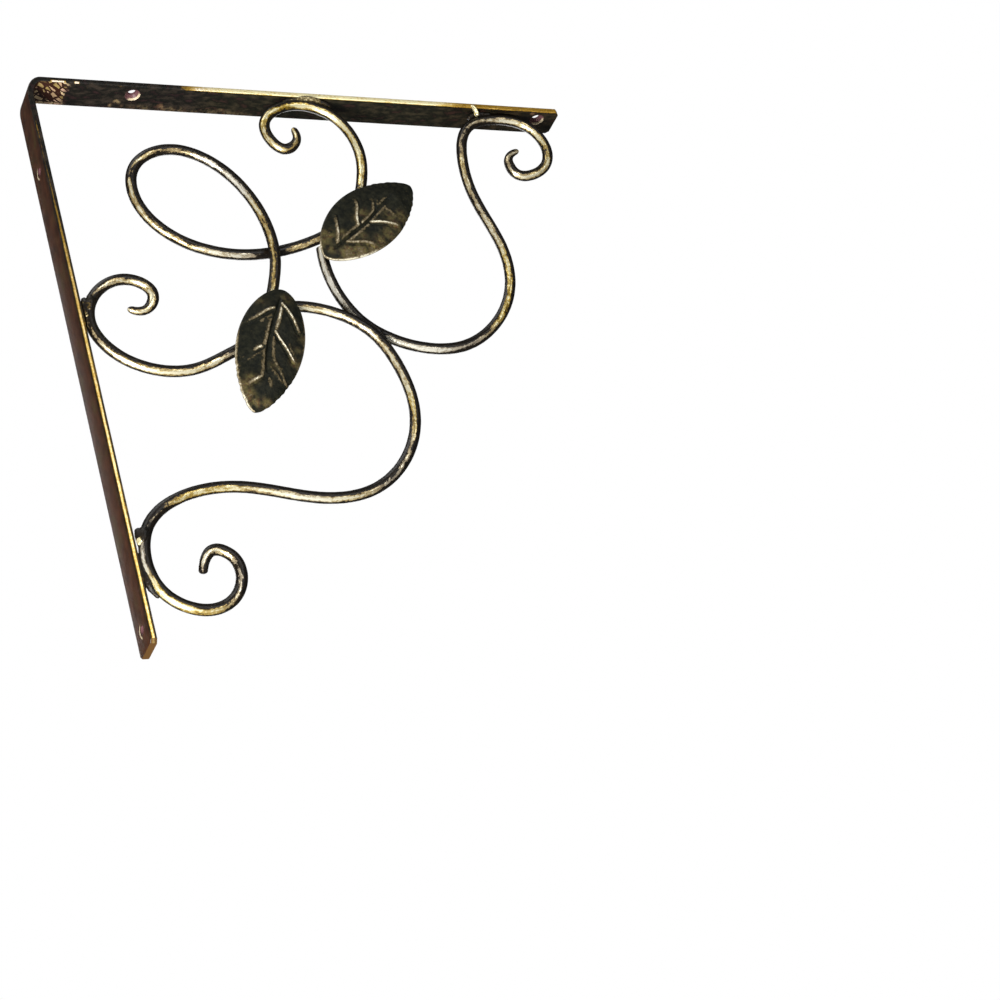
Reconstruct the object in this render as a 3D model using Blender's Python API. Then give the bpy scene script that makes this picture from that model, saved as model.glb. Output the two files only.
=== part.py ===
"""Wrought iron shelf bracket.

A flat bar is bent square into a shelf arm and a wall arm. Three round rods, bent
into scrolls, fill the corner between the arms. Two pressed leaves are welded over
the places where the rods meet, and small fillets of weld hold the scrolls to the bar.

X runs out from the wall, Z up, and the scrolls face -Y. The origin lies on the wall
arm's back face, half way up it and half way across it. Drawn sizes are in
millimetres. A drawn point is (out, drop): out from the wall, and down from the shelf.
Depth is measured from the middle of the bar's width, and is negative to the front.
"""

import math

import bmesh
import bpy
import numpy as np
from mathutils import Vector

MM = 0.001
GAP = 0.3

# Flat bar
SHELF_ARM = 265.0
WALL_ARM = 290.0
BAR_WIDTH = 15.0
BAR_THICK = 3.0
# The bend is rounder down the wall arm than along the shelf arm
CORNER_OUT = 8.0
CORNER_DOWN = 13.0
CORNER_STEPS = 8
EDGE_CHAMFER = 0.5
END_CHAMFER = 1.5

# Countersunk screw holes: two in each arm, as (distance from the corner, depth)
HOLE_RADIUS = 1.75
SINK_RADIUS = 3.5
HOLE_SIDES = 16
SHELF_HOLES = ((51.0, -2.0), (255.0, -2.0))
WALL_HOLES = ((50.0, -1.0), (281.0, -1.0))

# Round rods
ROD_RADIUS = 2.5
ROD_SIDES = 10
RING_TURN = math.radians(15.0)
RING_RUN = 8.0
PATH_STEP = 0.5
TIP_TAPER = 14.0
TIP_RADIUS = 1.9
TIP_ROUND = 1.0
TIP_FULLNESS = 0.7
# A rod that lies on the bar has its centre line this far from the bar's outer face
TOUCH = BAR_THICK + GAP + ROD_RADIUS

# The looped rod, from its small top curl to its curl on the wall arm. It crosses
# itself once, so the third number moves it back or forward from its own plane.
LOOPED_DEPTH = -5.0
LOOPED_ROUTE = (
    (123.0, 20.0, 0.0), (123.0, 28.0, 0.0), (115.5, 33.0, 0.0), (110.5, 28.0, 0.0),
    (110.0, 17.5, 0.0), (118.0, 9.0, 0.0), (132.0, TOUCH, 0.0), (144.5, 11.0, 0.0),
    (153.0, 31.5, 0.0), (149.5, 51.0, 0.0), (139.5, 70.5, 0.0), (120.0, 84.5, 0.8),
    (97.5, 91.5, 2.7), (77.0, 93.5, 2.2), (55.5, 87.5, 1.4), (43.0, 76.0, 0.6),
    (38.5, 62.5, 0.0), (42.0, 48.0, -0.7), (61.0, 38.0, -1.3), (77.5, 44.5, -1.8),
    (91.0, 63.0, -2.3), (96.0, 84.5, -2.7), (95.0, 101.0, -2.5), (89.5, 119.0, -1.5),
    (80.0, 138.5, -1.2), (62.0, 151.0, -0.9), (45.0, 158.5, -0.4), (14.5, 151.0, 0.0),
    (TOUCH, 134.5, 0.0), (14.5, 115.5, 0.0), (29.0, 111.5, 0.0), (36.0, 117.5, 0.0),
    (31.5, 127.0, 0.0), (23.5, 126.5, 0.0),
)

# The shelf scroll, from the first leaf's foot, round its bowl and up to the shelf arm
SHELF_SCROLL_DEPTH = -3.5
SHELF_SCROLL_ROUTE = (
    (121.0, 89.5), (122.0, 112.0), (131.0, 130.5), (148.5, 141.5), (175.0, 142.5),
    (196.0, 129.0), (209.5, 107.0), (212.0, 86.0), (206.0, 56.0), (206.5, 31.5),
    (215.5, 11.5), (231.5, TOUCH), (249.0, 11.0), (253.5, 24.5), (242.5, 39.0),
    (232.5, 39.5), (230.5, 33.0), (238.0, 25.0),
)

# The wall scroll, from behind the second leaf, round its bow and down the wall arm
WALL_SCROLL_DEPTH = -6.5
WALL_SCROLL_ROUTE = (
    (94.0, 125.0), (115.0, 127.0), (130.5, 136.5), (139.5, 155.0), (141.0, 180.0),
    (128.5, 207.0), (108.5, 221.5), (86.0, 224.0), (55.5, 218.5), (30.0, 221.5),
    (10.5, 235.5), (TOUCH, 252.5), (11.0, 269.0), (29.0, 276.0), (42.0, 266.5),
    (41.5, 251.0), (37.5, 248.5), (28.0, 259.0),
)

# Pressed leaves. Each has a midrib groove, and side veins that sweep towards the tip.
LEAF_LENGTH = 70.0
LEAF_SHEET = 1.2
LEAF_CROWN = 2.2
LEAF_CROWN_RUN = 0.2
LEAF_FULLNESS = 0.6
LEAF_ROWS = 15
ROWS_PER_VEIN = 3
VEIN_RISE = 0.6
VEIN_SWEEP = 0.2
MIDRIB_GROOVE = 0.8
MIDRIB_LIP = 0.09
LEAF_COLUMNS = (0.0, MIDRIB_LIP, 0.3, 0.55, 0.8, 1.0)
# Foot of the midrib, tip, the depth of the rim's back face, and the half width on the
# midrib's two sides with the power that moves its widest place along
UPPER_LEAF = ((118.8, 98.1), (171.3, 55.0), -7.9, {1: (16.7, 1.0), -1: (14.7, 0.95)})
LOWER_LEAF = ((93.7, 118.9), (65.7, 183.4), -9.4, {1: (14.7, 0.87), -1: (14.7, 0.87)})

# Weld fillets: the stretch that each one fills between its rod and the bar
FILLET_HALF_DEPTH = 2.0
FILLET_ROD_SIDE = 0.7
FILLET_SEARCH = 5.0
FILLET_REACH = 15.0
FILLET_STEPS = 4
TOP_CURL_FILLET = (137.0, 144.0)
SHELF_SCROLL_FILLET = (226.0, 217.0)
LEFT_CURL_FILLET = (129.0, 121.5)
WALL_SCROLL_FILLET = (247.0, 237.0)

FRONT_TO_BACK = Vector((0.0, 1.0, 0.0))


def clear_scene():
    """Remove every object that the file starts with."""
    for thing in list(bpy.data.objects):
        bpy.data.objects.remove(thing)


def place(out, drop, depth=0.0):
    """World position of a drawn point."""
    return Vector((out, depth, WALL_ARM / 2 - drop)) * MM


def paint(name, colour, roughness, metallic):
    """Plain Principled material."""
    material = bpy.data.materials.new(name)
    material.use_nodes = True
    shader = material.node_tree.nodes["Principled BSDF"]
    shader.inputs["Base Color"].default_value = (*colour, 1.0)
    shader.inputs["Roughness"].default_value = roughness
    shader.inputs["Metallic"].default_value = metallic
    return material


def add_object(name, mesh, material, smooth_angle=None):
    """Turn a bmesh into a named object in the scene, with its faces pointing out."""
    bmesh.ops.recalc_face_normals(mesh, faces=mesh.faces)
    data = bpy.data.meshes.new(name)
    mesh.to_mesh(data)
    mesh.free()
    if smooth_angle is not None:
        data.shade_smooth()
        data.set_sharp_from_angle(angle=math.radians(smooth_angle))
    if material is not None:
        data.materials.append(material)
    thing = bpy.data.objects.new(name, data)
    bpy.context.collection.objects.link(thing)
    return thing


def smooth_path(points):
    """Evenly spaced positions along the smooth curve that passes through the points."""
    points = np.array(points)
    chords = np.linalg.norm(np.diff(points, axis=0), axis=1)
    reach = np.concatenate(([0.0], np.cumsum(chords)))
    count = len(points)
    system = np.zeros((count, count))
    load = np.zeros_like(points)
    slopes = np.diff(points, axis=0) / chords[:, None]
    for i in range(1, count - 1):
        before, after = chords[i - 1], chords[i]
        system[i, i - 1:i + 2] = before, 2.0 * (before + after), after
        load[i] = 6.0 * (slopes[i] - slopes[i - 1])
    # Each end keeps the bend of the point beside it
    system[0, :2] = 1.0, -1.0
    system[-1, -2:] = -1.0, 1.0
    bends = np.linalg.solve(system, load)
    at = np.linspace(0.0, reach[-1], round(reach[-1] / PATH_STEP) + 1)
    i = np.clip(np.searchsorted(reach, at, side="right") - 1, 0, count - 2)
    chord = chords[i][:, None]
    left = reach[i + 1][:, None] - at[:, None]
    right = at[:, None] - reach[i][:, None]
    cubic = (bends[i] * left**3 + bends[i + 1] * right**3) / (6.0 * chord)
    straight_left = (points[i] / chord - bends[i] * chord / 6.0) * left
    straight_right = (points[i + 1] / chord - bends[i + 1] * chord / 6.0) * right
    return cubic + straight_left + straight_right


def directions(path):
    """Unit direction of travel at each position of a path."""
    steps = np.gradient(path, axis=0)
    return steps / np.linalg.norm(steps, axis=1)[:, None]


def ring_indices(path):
    """Where the rings of a rod go: closer together where it bends tighter."""
    heading = directions(path)
    kept = [0]
    for i in range(1, len(path) - 1):
        turned = math.acos(min(1.0, float(heading[i] @ heading[kept[-1]])))
        run = np.linalg.norm(path[i] - path[kept[-1]])
        if turned > RING_TURN or run > RING_RUN:
            kept.append(i)
    return kept + [len(path) - 1]


def sweep(name, centres, headings, sections, material, smooth_angle=None):
    """Closed solid through one section at each centre, square to its heading.

    A section's points are (towards the side of travel's right, front to back).
    """
    mesh = bmesh.new()
    rings = []
    for centre, heading, section in zip(centres, headings, sections):
        heading = Vector(heading).normalized()
        across = (FRONT_TO_BACK - heading * heading.dot(FRONT_TO_BACK)).normalized()
        outward = across.cross(heading)
        rings.append([mesh.verts.new(centre + (outward * a + across * b) * MM) for a, b in section])
    for near, far in zip(rings, rings[1:]):
        for i in range(len(near)):
            mesh.faces.new((near[i - 1], near[i], far[i], far[i - 1]))
    mesh.faces.new(rings[0])
    mesh.faces.new(rings[-1])
    return add_object(name, mesh, material, smooth_angle)


def polygon(radius, sides):
    """Corners of a regular polygon, with a flat on each side of the rod."""
    turns = [math.tau * (i + 0.5) / sides for i in range(sides)]
    return [(radius * math.cos(turn), radius * math.sin(turn)) for turn in turns]


def bar_section(half_width):
    """Flat bar's cross-section with its long edges taken off."""
    thick = BAR_THICK / 2
    cut = EDGE_CHAMFER
    quarter = [(thick, half_width - cut), (thick - cut, half_width)]
    left = [(-a, b) for a, b in reversed(quarter)]
    return quarter + left + [(-a, -b) for a, b in quarter] + [(a, -b) for a, b in reversed(quarter)]


def bar_route():
    """Middle of the bar from the shelf arm's end to the wall arm's: points and headings."""
    middle = BAR_THICK / 2
    points = [(SHELF_ARM, middle), (SHELF_ARM - END_CHAMFER, middle)]
    headings = [(-1.0, 0.0, 0.0)] * 2
    across, down = CORNER_OUT - middle, CORNER_DOWN - middle
    for i in range(CORNER_STEPS + 1):
        turn = math.pi / 2 * i / CORNER_STEPS
        points.append((CORNER_OUT - across * math.sin(turn), CORNER_DOWN - down * math.cos(turn)))
        headings.append((-across * math.cos(turn), 0.0, -down * math.sin(turn)))
    points += [(middle, WALL_ARM - END_CHAMFER), (middle, WALL_ARM)]
    headings += [(0.0, 0.0, -1.0)] * 2
    return [place(*point) for point in points], headings


def hole_cutter(name, position, inward):
    """Turned cutter for one countersunk hole, from the outer face towards `inward`."""
    sink_depth = SINK_RADIUS - HOLE_RADIUS
    over = 1.0
    profile = (
        (HOLE_RADIUS, -over),
        (HOLE_RADIUS, BAR_THICK - sink_depth),
        (SINK_RADIUS + over, BAR_THICK + over),
    )
    mesh = bmesh.new()
    turn = Vector((0.0, 0.0, 1.0)).rotation_difference(Vector(inward))
    rings = []
    for radius, height in profile:
        corners = [(a, b, height) for a, b in polygon(radius, HOLE_SIDES)]
        rings.append([mesh.verts.new(position + turn @ Vector(corner) * MM) for corner in corners])
    for near, far in zip(rings, rings[1:]):
        for i in range(HOLE_SIDES):
            mesh.faces.new((near[i - 1], near[i], far[i], far[i - 1]))
    mesh.faces.new(rings[0])
    mesh.faces.new(rings[-1])
    cutter = add_object(name, mesh, None)
    cutter.hide_render = True
    cutter.display_type = "WIRE"
    return cutter


def make_bar(material):
    """Flat bar bent square, with square-cut ends and countersunk screw holes."""
    centres, headings = bar_route()
    full = bar_section(BAR_WIDTH / 2)
    end = bar_section(BAR_WIDTH / 2 - END_CHAMFER)
    sections = [end] + [full] * (len(centres) - 2) + [end]
    bar = sweep("angle_bar", centres, headings, sections, material)
    holes = [(place(out, 0.0, depth), (0.0, 0.0, -1.0)) for out, depth in SHELF_HOLES]
    holes += [(place(0.0, drop, depth), (1.0, 0.0, 0.0)) for drop, depth in WALL_HOLES]
    for number, (position, inward) in enumerate(holes, start=1):
        cut = bar.modifiers.new(f"screw_hole_{number}", "BOOLEAN")
        cut.operation = "DIFFERENCE"
        cut.solver = "EXACT"
        cut.object = hole_cutter(f"hole_cutter_{number}", position, inward)
    return bar


def rod_path(route, depth):
    """Smooth centre line of a rod, as (out, depth, -drop) in millimetres."""
    points = [(stop[0], depth + (stop[2] if len(stop) > 2 else 0.0), -stop[1]) for stop in route]
    return smooth_path(points)


def rod_radius(left):
    """Radius of a rod whose free tip is `left` millimetres further on."""
    taper = TIP_RADIUS + (ROD_RADIUS - TIP_RADIUS) * min(1.0, left / TIP_TAPER)
    if left >= TIP_ROUND:
        return taper
    return taper * math.sqrt(1.0 - TIP_FULLNESS * (1.0 - left / TIP_ROUND) ** 2)


def make_rod(name, path, free_start, material):
    """Round rod along a path. Its end is drawn down to a tip, and its start may be."""
    reach = np.concatenate(([0.0], np.cumsum(np.linalg.norm(np.diff(path, axis=0), axis=1))))
    heading = directions(path)
    rings = ring_indices(path)
    rounding = round(TIP_ROUND / PATH_STEP)
    rings = sorted(set(rings) | {len(path) - 1 - rounding} | ({rounding} if free_start else set()))
    centres, headings, sections = [], [], []
    for i in rings:
        left = reach[-1] - reach[i]
        if free_start:
            left = min(left, reach[i])
        centres.append(Vector((path[i][0], path[i][1], path[i][2] + WALL_ARM / 2)) * MM)
        headings.append(heading[i])
        sections.append(polygon(rod_radius(left), ROD_SIDES))
    return sweep(name, centres, headings, sections, material, smooth_angle=50.0)


def leaf_half_width(share, widest, belly):
    """Half the blade's width at a share of its length, from its round foot to its tip."""
    return widest * math.sin(math.pi * min(1.0, share) ** belly) ** LEAF_FULLNESS


def leaf_rise(share, across, on_vein):
    """Height of the blade's face over its rim at a share of its length and width."""
    fade = min(1.0, share / LEAF_CROWN_RUN, (1.0 - share) / LEAF_CROWN_RUN)
    rise = LEAF_CROWN * fade * (1.0 - across**2)
    if across < MIDRIB_LIP / 2:
        rise -= MIDRIB_GROOVE * fade
    elif on_vein and across < 1.0:
        rise += VEIN_RISE * fade
    return rise


def make_leaf(name, foot, tip, rim_depth, halves, material):
    """Pressed leaf: a domed blade of even sheet, with its veins in relief."""
    start = np.array(foot)
    along = (np.array(tip) - start) / LEAF_LENGTH
    sideways = np.array((along[1], -along[0]))
    mesh = bmesh.new()
    columns = [-c for c in reversed(LEAF_COLUMNS[1:])] + list(LEAF_COLUMNS)
    faces = {}
    for row in range(LEAF_ROWS + 1):
        share = row / LEAF_ROWS
        on_vein = row % ROWS_PER_VEIN == 0
        for column, across in enumerate(columns):
            swept = share + VEIN_SWEEP * abs(across) * 4.0 * share * (1.0 - share)
            widest, belly = halves[1 if across > 0.0 else -1]
            offset = across * leaf_half_width(swept, widest, belly)
            out, drop = start + along * swept * LEAF_LENGTH + sideways * offset
            rise = leaf_rise(share, abs(across), on_vein)
            faces[row, column, "back"] = mesh.verts.new(place(out, drop, rim_depth - rise))
            front = rim_depth - rise - LEAF_SHEET
            faces[row, column, "front"] = mesh.verts.new(place(out, drop, front))
    last = len(columns) - 1
    for row in range(LEAF_ROWS):
        for side in ("front", "back"):
            for column in range(last):
                corners = ((row, column), (row, column + 1), (row + 1, column + 1), (row + 1, column))
                mesh.faces.new([faces[r, c, side] for r, c in corners])
        for column in (0, last):
            mesh.faces.new((
                faces[row, column, "front"], faces[row + 1, column, "front"],
                faces[row + 1, column, "back"], faces[row, column, "back"],
            ))
    # The rows at the foot and at the tip close to a single point
    bmesh.ops.remove_doubles(mesh, verts=mesh.verts, dist=1e-6)
    return add_object(name, mesh, material, smooth_angle=35.0)


def make_fillet(name, path, stretch, on_wall, material):
    """Weld that fills the narrowing gap between the bar and a rod that leaves it."""
    heading = directions(path)
    # Columns of a path position: the one along the bar and the one away from its face
    run, away = (2, 0) if on_wall else (0, 2)
    sign = 1.0 if on_wall else -1.0
    line = abs(path[:, run])
    level = abs(path[:, away])
    beside = (line > min(stretch) - FILLET_SEARCH) & (line < max(stretch) + FILLET_SEARCH)
    close = np.flatnonzero(beside & (level < FILLET_REACH))
    lean = np.abs(heading[close, run])
    edge = level[close] - (ROD_RADIUS + GAP) / np.maximum(lean, 0.5)
    order = np.argsort(line[close])
    depth = float(path[close, 1].mean())
    centres, sections = [], []
    for at in np.linspace(*stretch, FILLET_STEPS + 1):
        width = float(np.interp(at, line[close][order], edge[order])) - BAR_THICK - GAP
        face = BAR_THICK + GAP
        centres.append(place(face, at, depth) if on_wall else place(at, face, depth))
        deep = FILLET_HALF_DEPTH
        thin = FILLET_ROD_SIDE * deep
        sections.append([(0.0, -deep), (width, -thin), (width, thin), (0.0, deep)])
    step = centres[-1] - centres[0]
    headings = [step] * len(centres)
    outward = FRONT_TO_BACK.cross(step.normalized())
    towards_rod = Vector((1.0, 0.0, 0.0)) if on_wall else Vector((0.0, 0.0, -1.0))
    if outward.dot(towards_rod) < 0.0:
        sections = [[(-a, b) for a, b in section] for section in sections]
    return sweep(name, centres, headings, sections, material)


def build():
    """Make every piece of the bracket."""
    clear_scene()
    iron = paint("blackened bar", (0.045, 0.03, 0.025), 0.5, 0.4)
    brushed = paint("gold-brushed rod", (0.32, 0.25, 0.13), 0.4, 0.7)
    foliage = paint("dark pressed leaf", (0.06, 0.055, 0.04), 0.5, 0.4)
    weld = paint("black weld", (0.03, 0.03, 0.025), 0.6, 0.3)
    make_bar(iron)
    looped = rod_path(LOOPED_ROUTE, LOOPED_DEPTH)
    shelf = rod_path(SHELF_SCROLL_ROUTE, SHELF_SCROLL_DEPTH)
    wall = rod_path(WALL_SCROLL_ROUTE, WALL_SCROLL_DEPTH)
    make_rod("looped_rod", looped, True, brushed)
    make_rod("shelf_scroll", shelf, False, brushed)
    make_rod("wall_scroll", wall, False, brushed)
    make_leaf("upper_leaf", *UPPER_LEAF, foliage)
    make_leaf("lower_leaf", *LOWER_LEAF, foliage)
    make_fillet("top_curl_weld", looped, TOP_CURL_FILLET, False, weld)
    make_fillet("shelf_scroll_weld", shelf, SHELF_SCROLL_FILLET, False, weld)
    make_fillet("left_curl_weld", looped, LEFT_CURL_FILLET, True, weld)
    make_fillet("wall_scroll_weld", wall, WALL_SCROLL_FILLET, True, weld)


build()
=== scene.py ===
"""Wrought iron shelf bracket: its finished surfaces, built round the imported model.

X runs out from the wall, Z up, and the scrolls face -Y. Sizes are in millimetres until a
finished mesh is scaled. A drawn point is (out, drop): out from the wall, and down from the
shelf. Depth is measured from the middle of the bar's width, and is negative to the front.
"""

from __future__ import annotations

import functools
import logging
import math
from dataclasses import dataclass
from enum import Enum

import bmesh
import bpy
import numpy as np
from mathutils import Matrix, Vector


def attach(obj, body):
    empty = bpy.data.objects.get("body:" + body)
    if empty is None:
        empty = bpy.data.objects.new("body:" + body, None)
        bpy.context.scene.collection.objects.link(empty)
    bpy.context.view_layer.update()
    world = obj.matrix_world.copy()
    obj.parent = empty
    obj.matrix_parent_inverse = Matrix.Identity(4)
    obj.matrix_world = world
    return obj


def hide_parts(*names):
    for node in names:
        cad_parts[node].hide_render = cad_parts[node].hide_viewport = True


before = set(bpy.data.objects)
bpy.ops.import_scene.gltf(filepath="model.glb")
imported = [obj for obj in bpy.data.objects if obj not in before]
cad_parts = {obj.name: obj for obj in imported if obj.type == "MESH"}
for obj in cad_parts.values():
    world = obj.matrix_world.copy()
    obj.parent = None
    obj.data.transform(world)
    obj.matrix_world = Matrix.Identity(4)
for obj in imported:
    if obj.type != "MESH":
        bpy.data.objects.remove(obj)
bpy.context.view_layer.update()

LOG = logging.getLogger("shelf_bracket")
ROOT = "root"
MM = 0.001
WALL_ARM = 290.0
SHELF_ARM = 265.0
BAR_WIDTH = 15.0
BAR_THICK = 3.0
FRONT = Vector((0.0, -1.0, 0.0))
ROUGHNESS = 0.6

Colour = tuple[float, float, float]
Point = tuple[float, float, float]
Stop = tuple[float, ...]
Band = tuple[float, float]
Ramp = tuple[tuple[float, Colour], ...]
Array = np.ndarray
Socket = bpy.types.NodeSocket
Value = Socket | float | int | str | tuple | None


class Arm(Enum):
    """The two arms of the bar: the way into each from its outer face."""

    SHELF = (0.0, 0.0, -1.0)
    WALL = (1.0, 0.0, 0.0)


class Slot(Enum):
    """The record's material slots."""

    BAR = "bar"
    ROD = "rod"
    LEAF = "leaf"
    WELD = "weld"


def place(out: float, drop: float, depth: float = 0.0) -> Vector:
    """Position of a drawn point in the part's frame, in millimetres."""
    return Vector((out, depth, WALL_ARM / 2 - drop))


def smooth_path(points: Array, step: float) -> Array:
    """Follow the smooth curve that passes through some points.

    Args:
        points: the points, one in each row.
        step: distance between the positions that are returned.

    Returns:
        Evenly spaced positions along a natural cubic curve.
    """
    chords = np.linalg.norm(np.diff(points, axis=0), axis=1)
    reach = np.concatenate(([0.0], np.cumsum(chords)))
    count = len(points)
    system = np.zeros((count, count))
    load = np.zeros_like(points)
    slopes = np.diff(points, axis=0) / chords[:, None]
    for i in range(1, count - 1):
        before, after = chords[i - 1], chords[i]
        system[i, i - 1:i + 2] = before, 2.0 * (before + after), after
        load[i] = 6.0 * (slopes[i] - slopes[i - 1])
    system[0, :2] = 1.0, -1.0
    system[-1, -2:] = -1.0, 1.0
    bends = np.linalg.solve(system, load)
    at = np.linspace(0.0, reach[-1], round(reach[-1] / step) + 1)
    i = np.clip(np.searchsorted(reach, at, side="right") - 1, 0, count - 2)
    chord = chords[i][:, None]
    left = reach[i + 1][:, None] - at[:, None]
    right = at[:, None] - reach[i][:, None]
    cubic = (bends[i] * left**3 + bends[i + 1] * right**3) / (6.0 * chord)
    straight_left = (points[i] / chord - bends[i] * chord / 6.0) * left
    straight_right = (points[i + 1] / chord - bends[i + 1] * chord / 6.0) * right
    return cubic + straight_left + straight_right


def smooth_step(value: Array) -> Array:
    """Ease from 0 to 1 without a kink."""
    clipped = np.clip(value, 0.0, 1.0)
    return clipped * clipped * (3.0 - 2.0 * clipped)


class Wiring:
    """Adds nodes to a tree and joins their sockets."""

    def __init__(self, tree: bpy.types.NodeTree) -> None:
        """Keep the tree that the nodes go into."""
        self.tree = tree

    def feed(self, socket: Socket, value: Value) -> None:
        """Join a value to an input, or set it there.

        Args:
            socket: the input.
            value: another node's output, a plain value, or None to leave the input as it is.
        """
        if isinstance(value, Socket):
            self.tree.links.new(value, socket)
        elif value is not None:
            socket.default_value = value

    def node(self, kind: str, *values: Value, **settings: object) -> bpy.types.Node:
        """Add a node.

        Args:
            kind: Blender's name for the kind of node.
            *values: what goes into its live inputs, in their order.
            **settings: the node's own properties.

        Returns:
            The new node.
        """
        node = self.tree.nodes.new(kind)
        for key, setting in settings.items():
            setattr(node, key, setting)
        live = [socket for socket in node.inputs if socket.enabled]
        for socket, value in zip(live, values):
            self.feed(socket, value)
        return node

    def out(self, kind: str, *values: Value, **settings: object) -> Socket:
        """Add a node and return its first live output."""
        node = self.node(kind, *values, **settings)
        return next(socket for socket in node.outputs if socket.enabled)

    def attribute(self, name: str, output: str = "Fac") -> Socket:
        """Read a value that is kept on the mesh."""
        return self.node("ShaderNodeAttribute", attribute_name=name).outputs[output]

    def maths(self, operation: str, *values: Value) -> Socket:
        """Add a sum of one, two or three numbers."""
        return self.out("ShaderNodeMath", *values, operation=operation)

    def fold(self, operation: str, *values: Value) -> Value:
        """Apply an operation to the first two numbers, then to the result and each one after."""
        return functools.reduce(lambda first, second: self.maths(operation, first, second), values)

    def product(self, *values: Value) -> Value:
        """Multiply some numbers."""
        return self.fold("MULTIPLY", *values)

    def largest(self, *values: Value) -> Value:
        """Pick the largest of some numbers."""
        return self.fold("MAXIMUM", *values)

    def total(self, *parts: tuple[Value, float]) -> Value:
        """Add up some values, each times its own weight."""
        add = functools.partial(self.maths, "MULTIPLY_ADD")
        return functools.reduce(lambda so_far, part: add(*part, so_far), parts, 0.0)

    def vector(self, operation: str, *values: Value) -> Socket:
        """Add a sum of vectors that gives a vector."""
        return self.out("ShaderNodeVectorMath", *values, operation=operation)

    def number(self, operation: str, *values: Value) -> Socket:
        """Add a sum of vectors that gives a number."""
        return self.node("ShaderNodeVectorMath", *values, operation=operation).outputs["Value"]

    def ease(self, value: Value, band: Band) -> Socket:
        """Ease a number from 0 at the start of a band to 1 at its end."""
        kind = "ShaderNodeMapRange"
        return self.out(kind, value, *band, 0.0, 1.0, interpolation_type="SMOOTHSTEP")

    def between(self, value: Value, rise: Band, fall: Band) -> Value:
        """Ease a number up over one band and down again over another."""
        return self.product(self.ease(value, rise), self.ease(value, fall))

    def noise(self, at: Value, pick: Value, detail: float) -> Socket:
        """Add seeded noise from 0 to 1 with lumps about one unit wide."""
        kind = "ShaderNodeTexNoise"
        return self.out(kind, at, pick, 1.0, detail, ROUGHNESS, noise_dimensions="4D")

    def ramp(self, value: Value, stops: Ramp) -> Socket:
        """Turn a number into a colour through a row of stops.

        Args:
            value: the number.
            stops: a position and a colour for each stop.

        Returns:
            The colour.
        """
        node = self.node("ShaderNodeValToRGB", value)
        band = node.color_ramp
        while len(band.elements) < len(stops):
            band.elements.new(1.0)
        for element, (position, colour) in zip(band.elements, stops):
            element.position = position
            element.color = (*colour, 1.0)
        return node.outputs["Color"]

    def blend(self, share: Value, first: Value, second: Value, way: str = "MIX") -> Socket:
        """Mix two colours."""
        pair = [(*colour, 1.0) if isinstance(colour, tuple) else colour for colour in (first, second)]
        return self.out("ShaderNodeMix", share, *pair, data_type="RGBA", blend_type=way)


# Finishes

# The way from a piece to where the painter stood, who brushed the gold on from below; gold on faces turned
# this way is partly a painted highlight
GILT_AND_HIGHLIGHT_FROM = Vector((-0.48, -0.58, -0.66))


@dataclass(frozen=True)
class Speckle:
    """A pattern of noise: lumps in a millimetre along each axis, finer layers, and its own seed."""

    scale: Point
    detail: float
    seed: float


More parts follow.
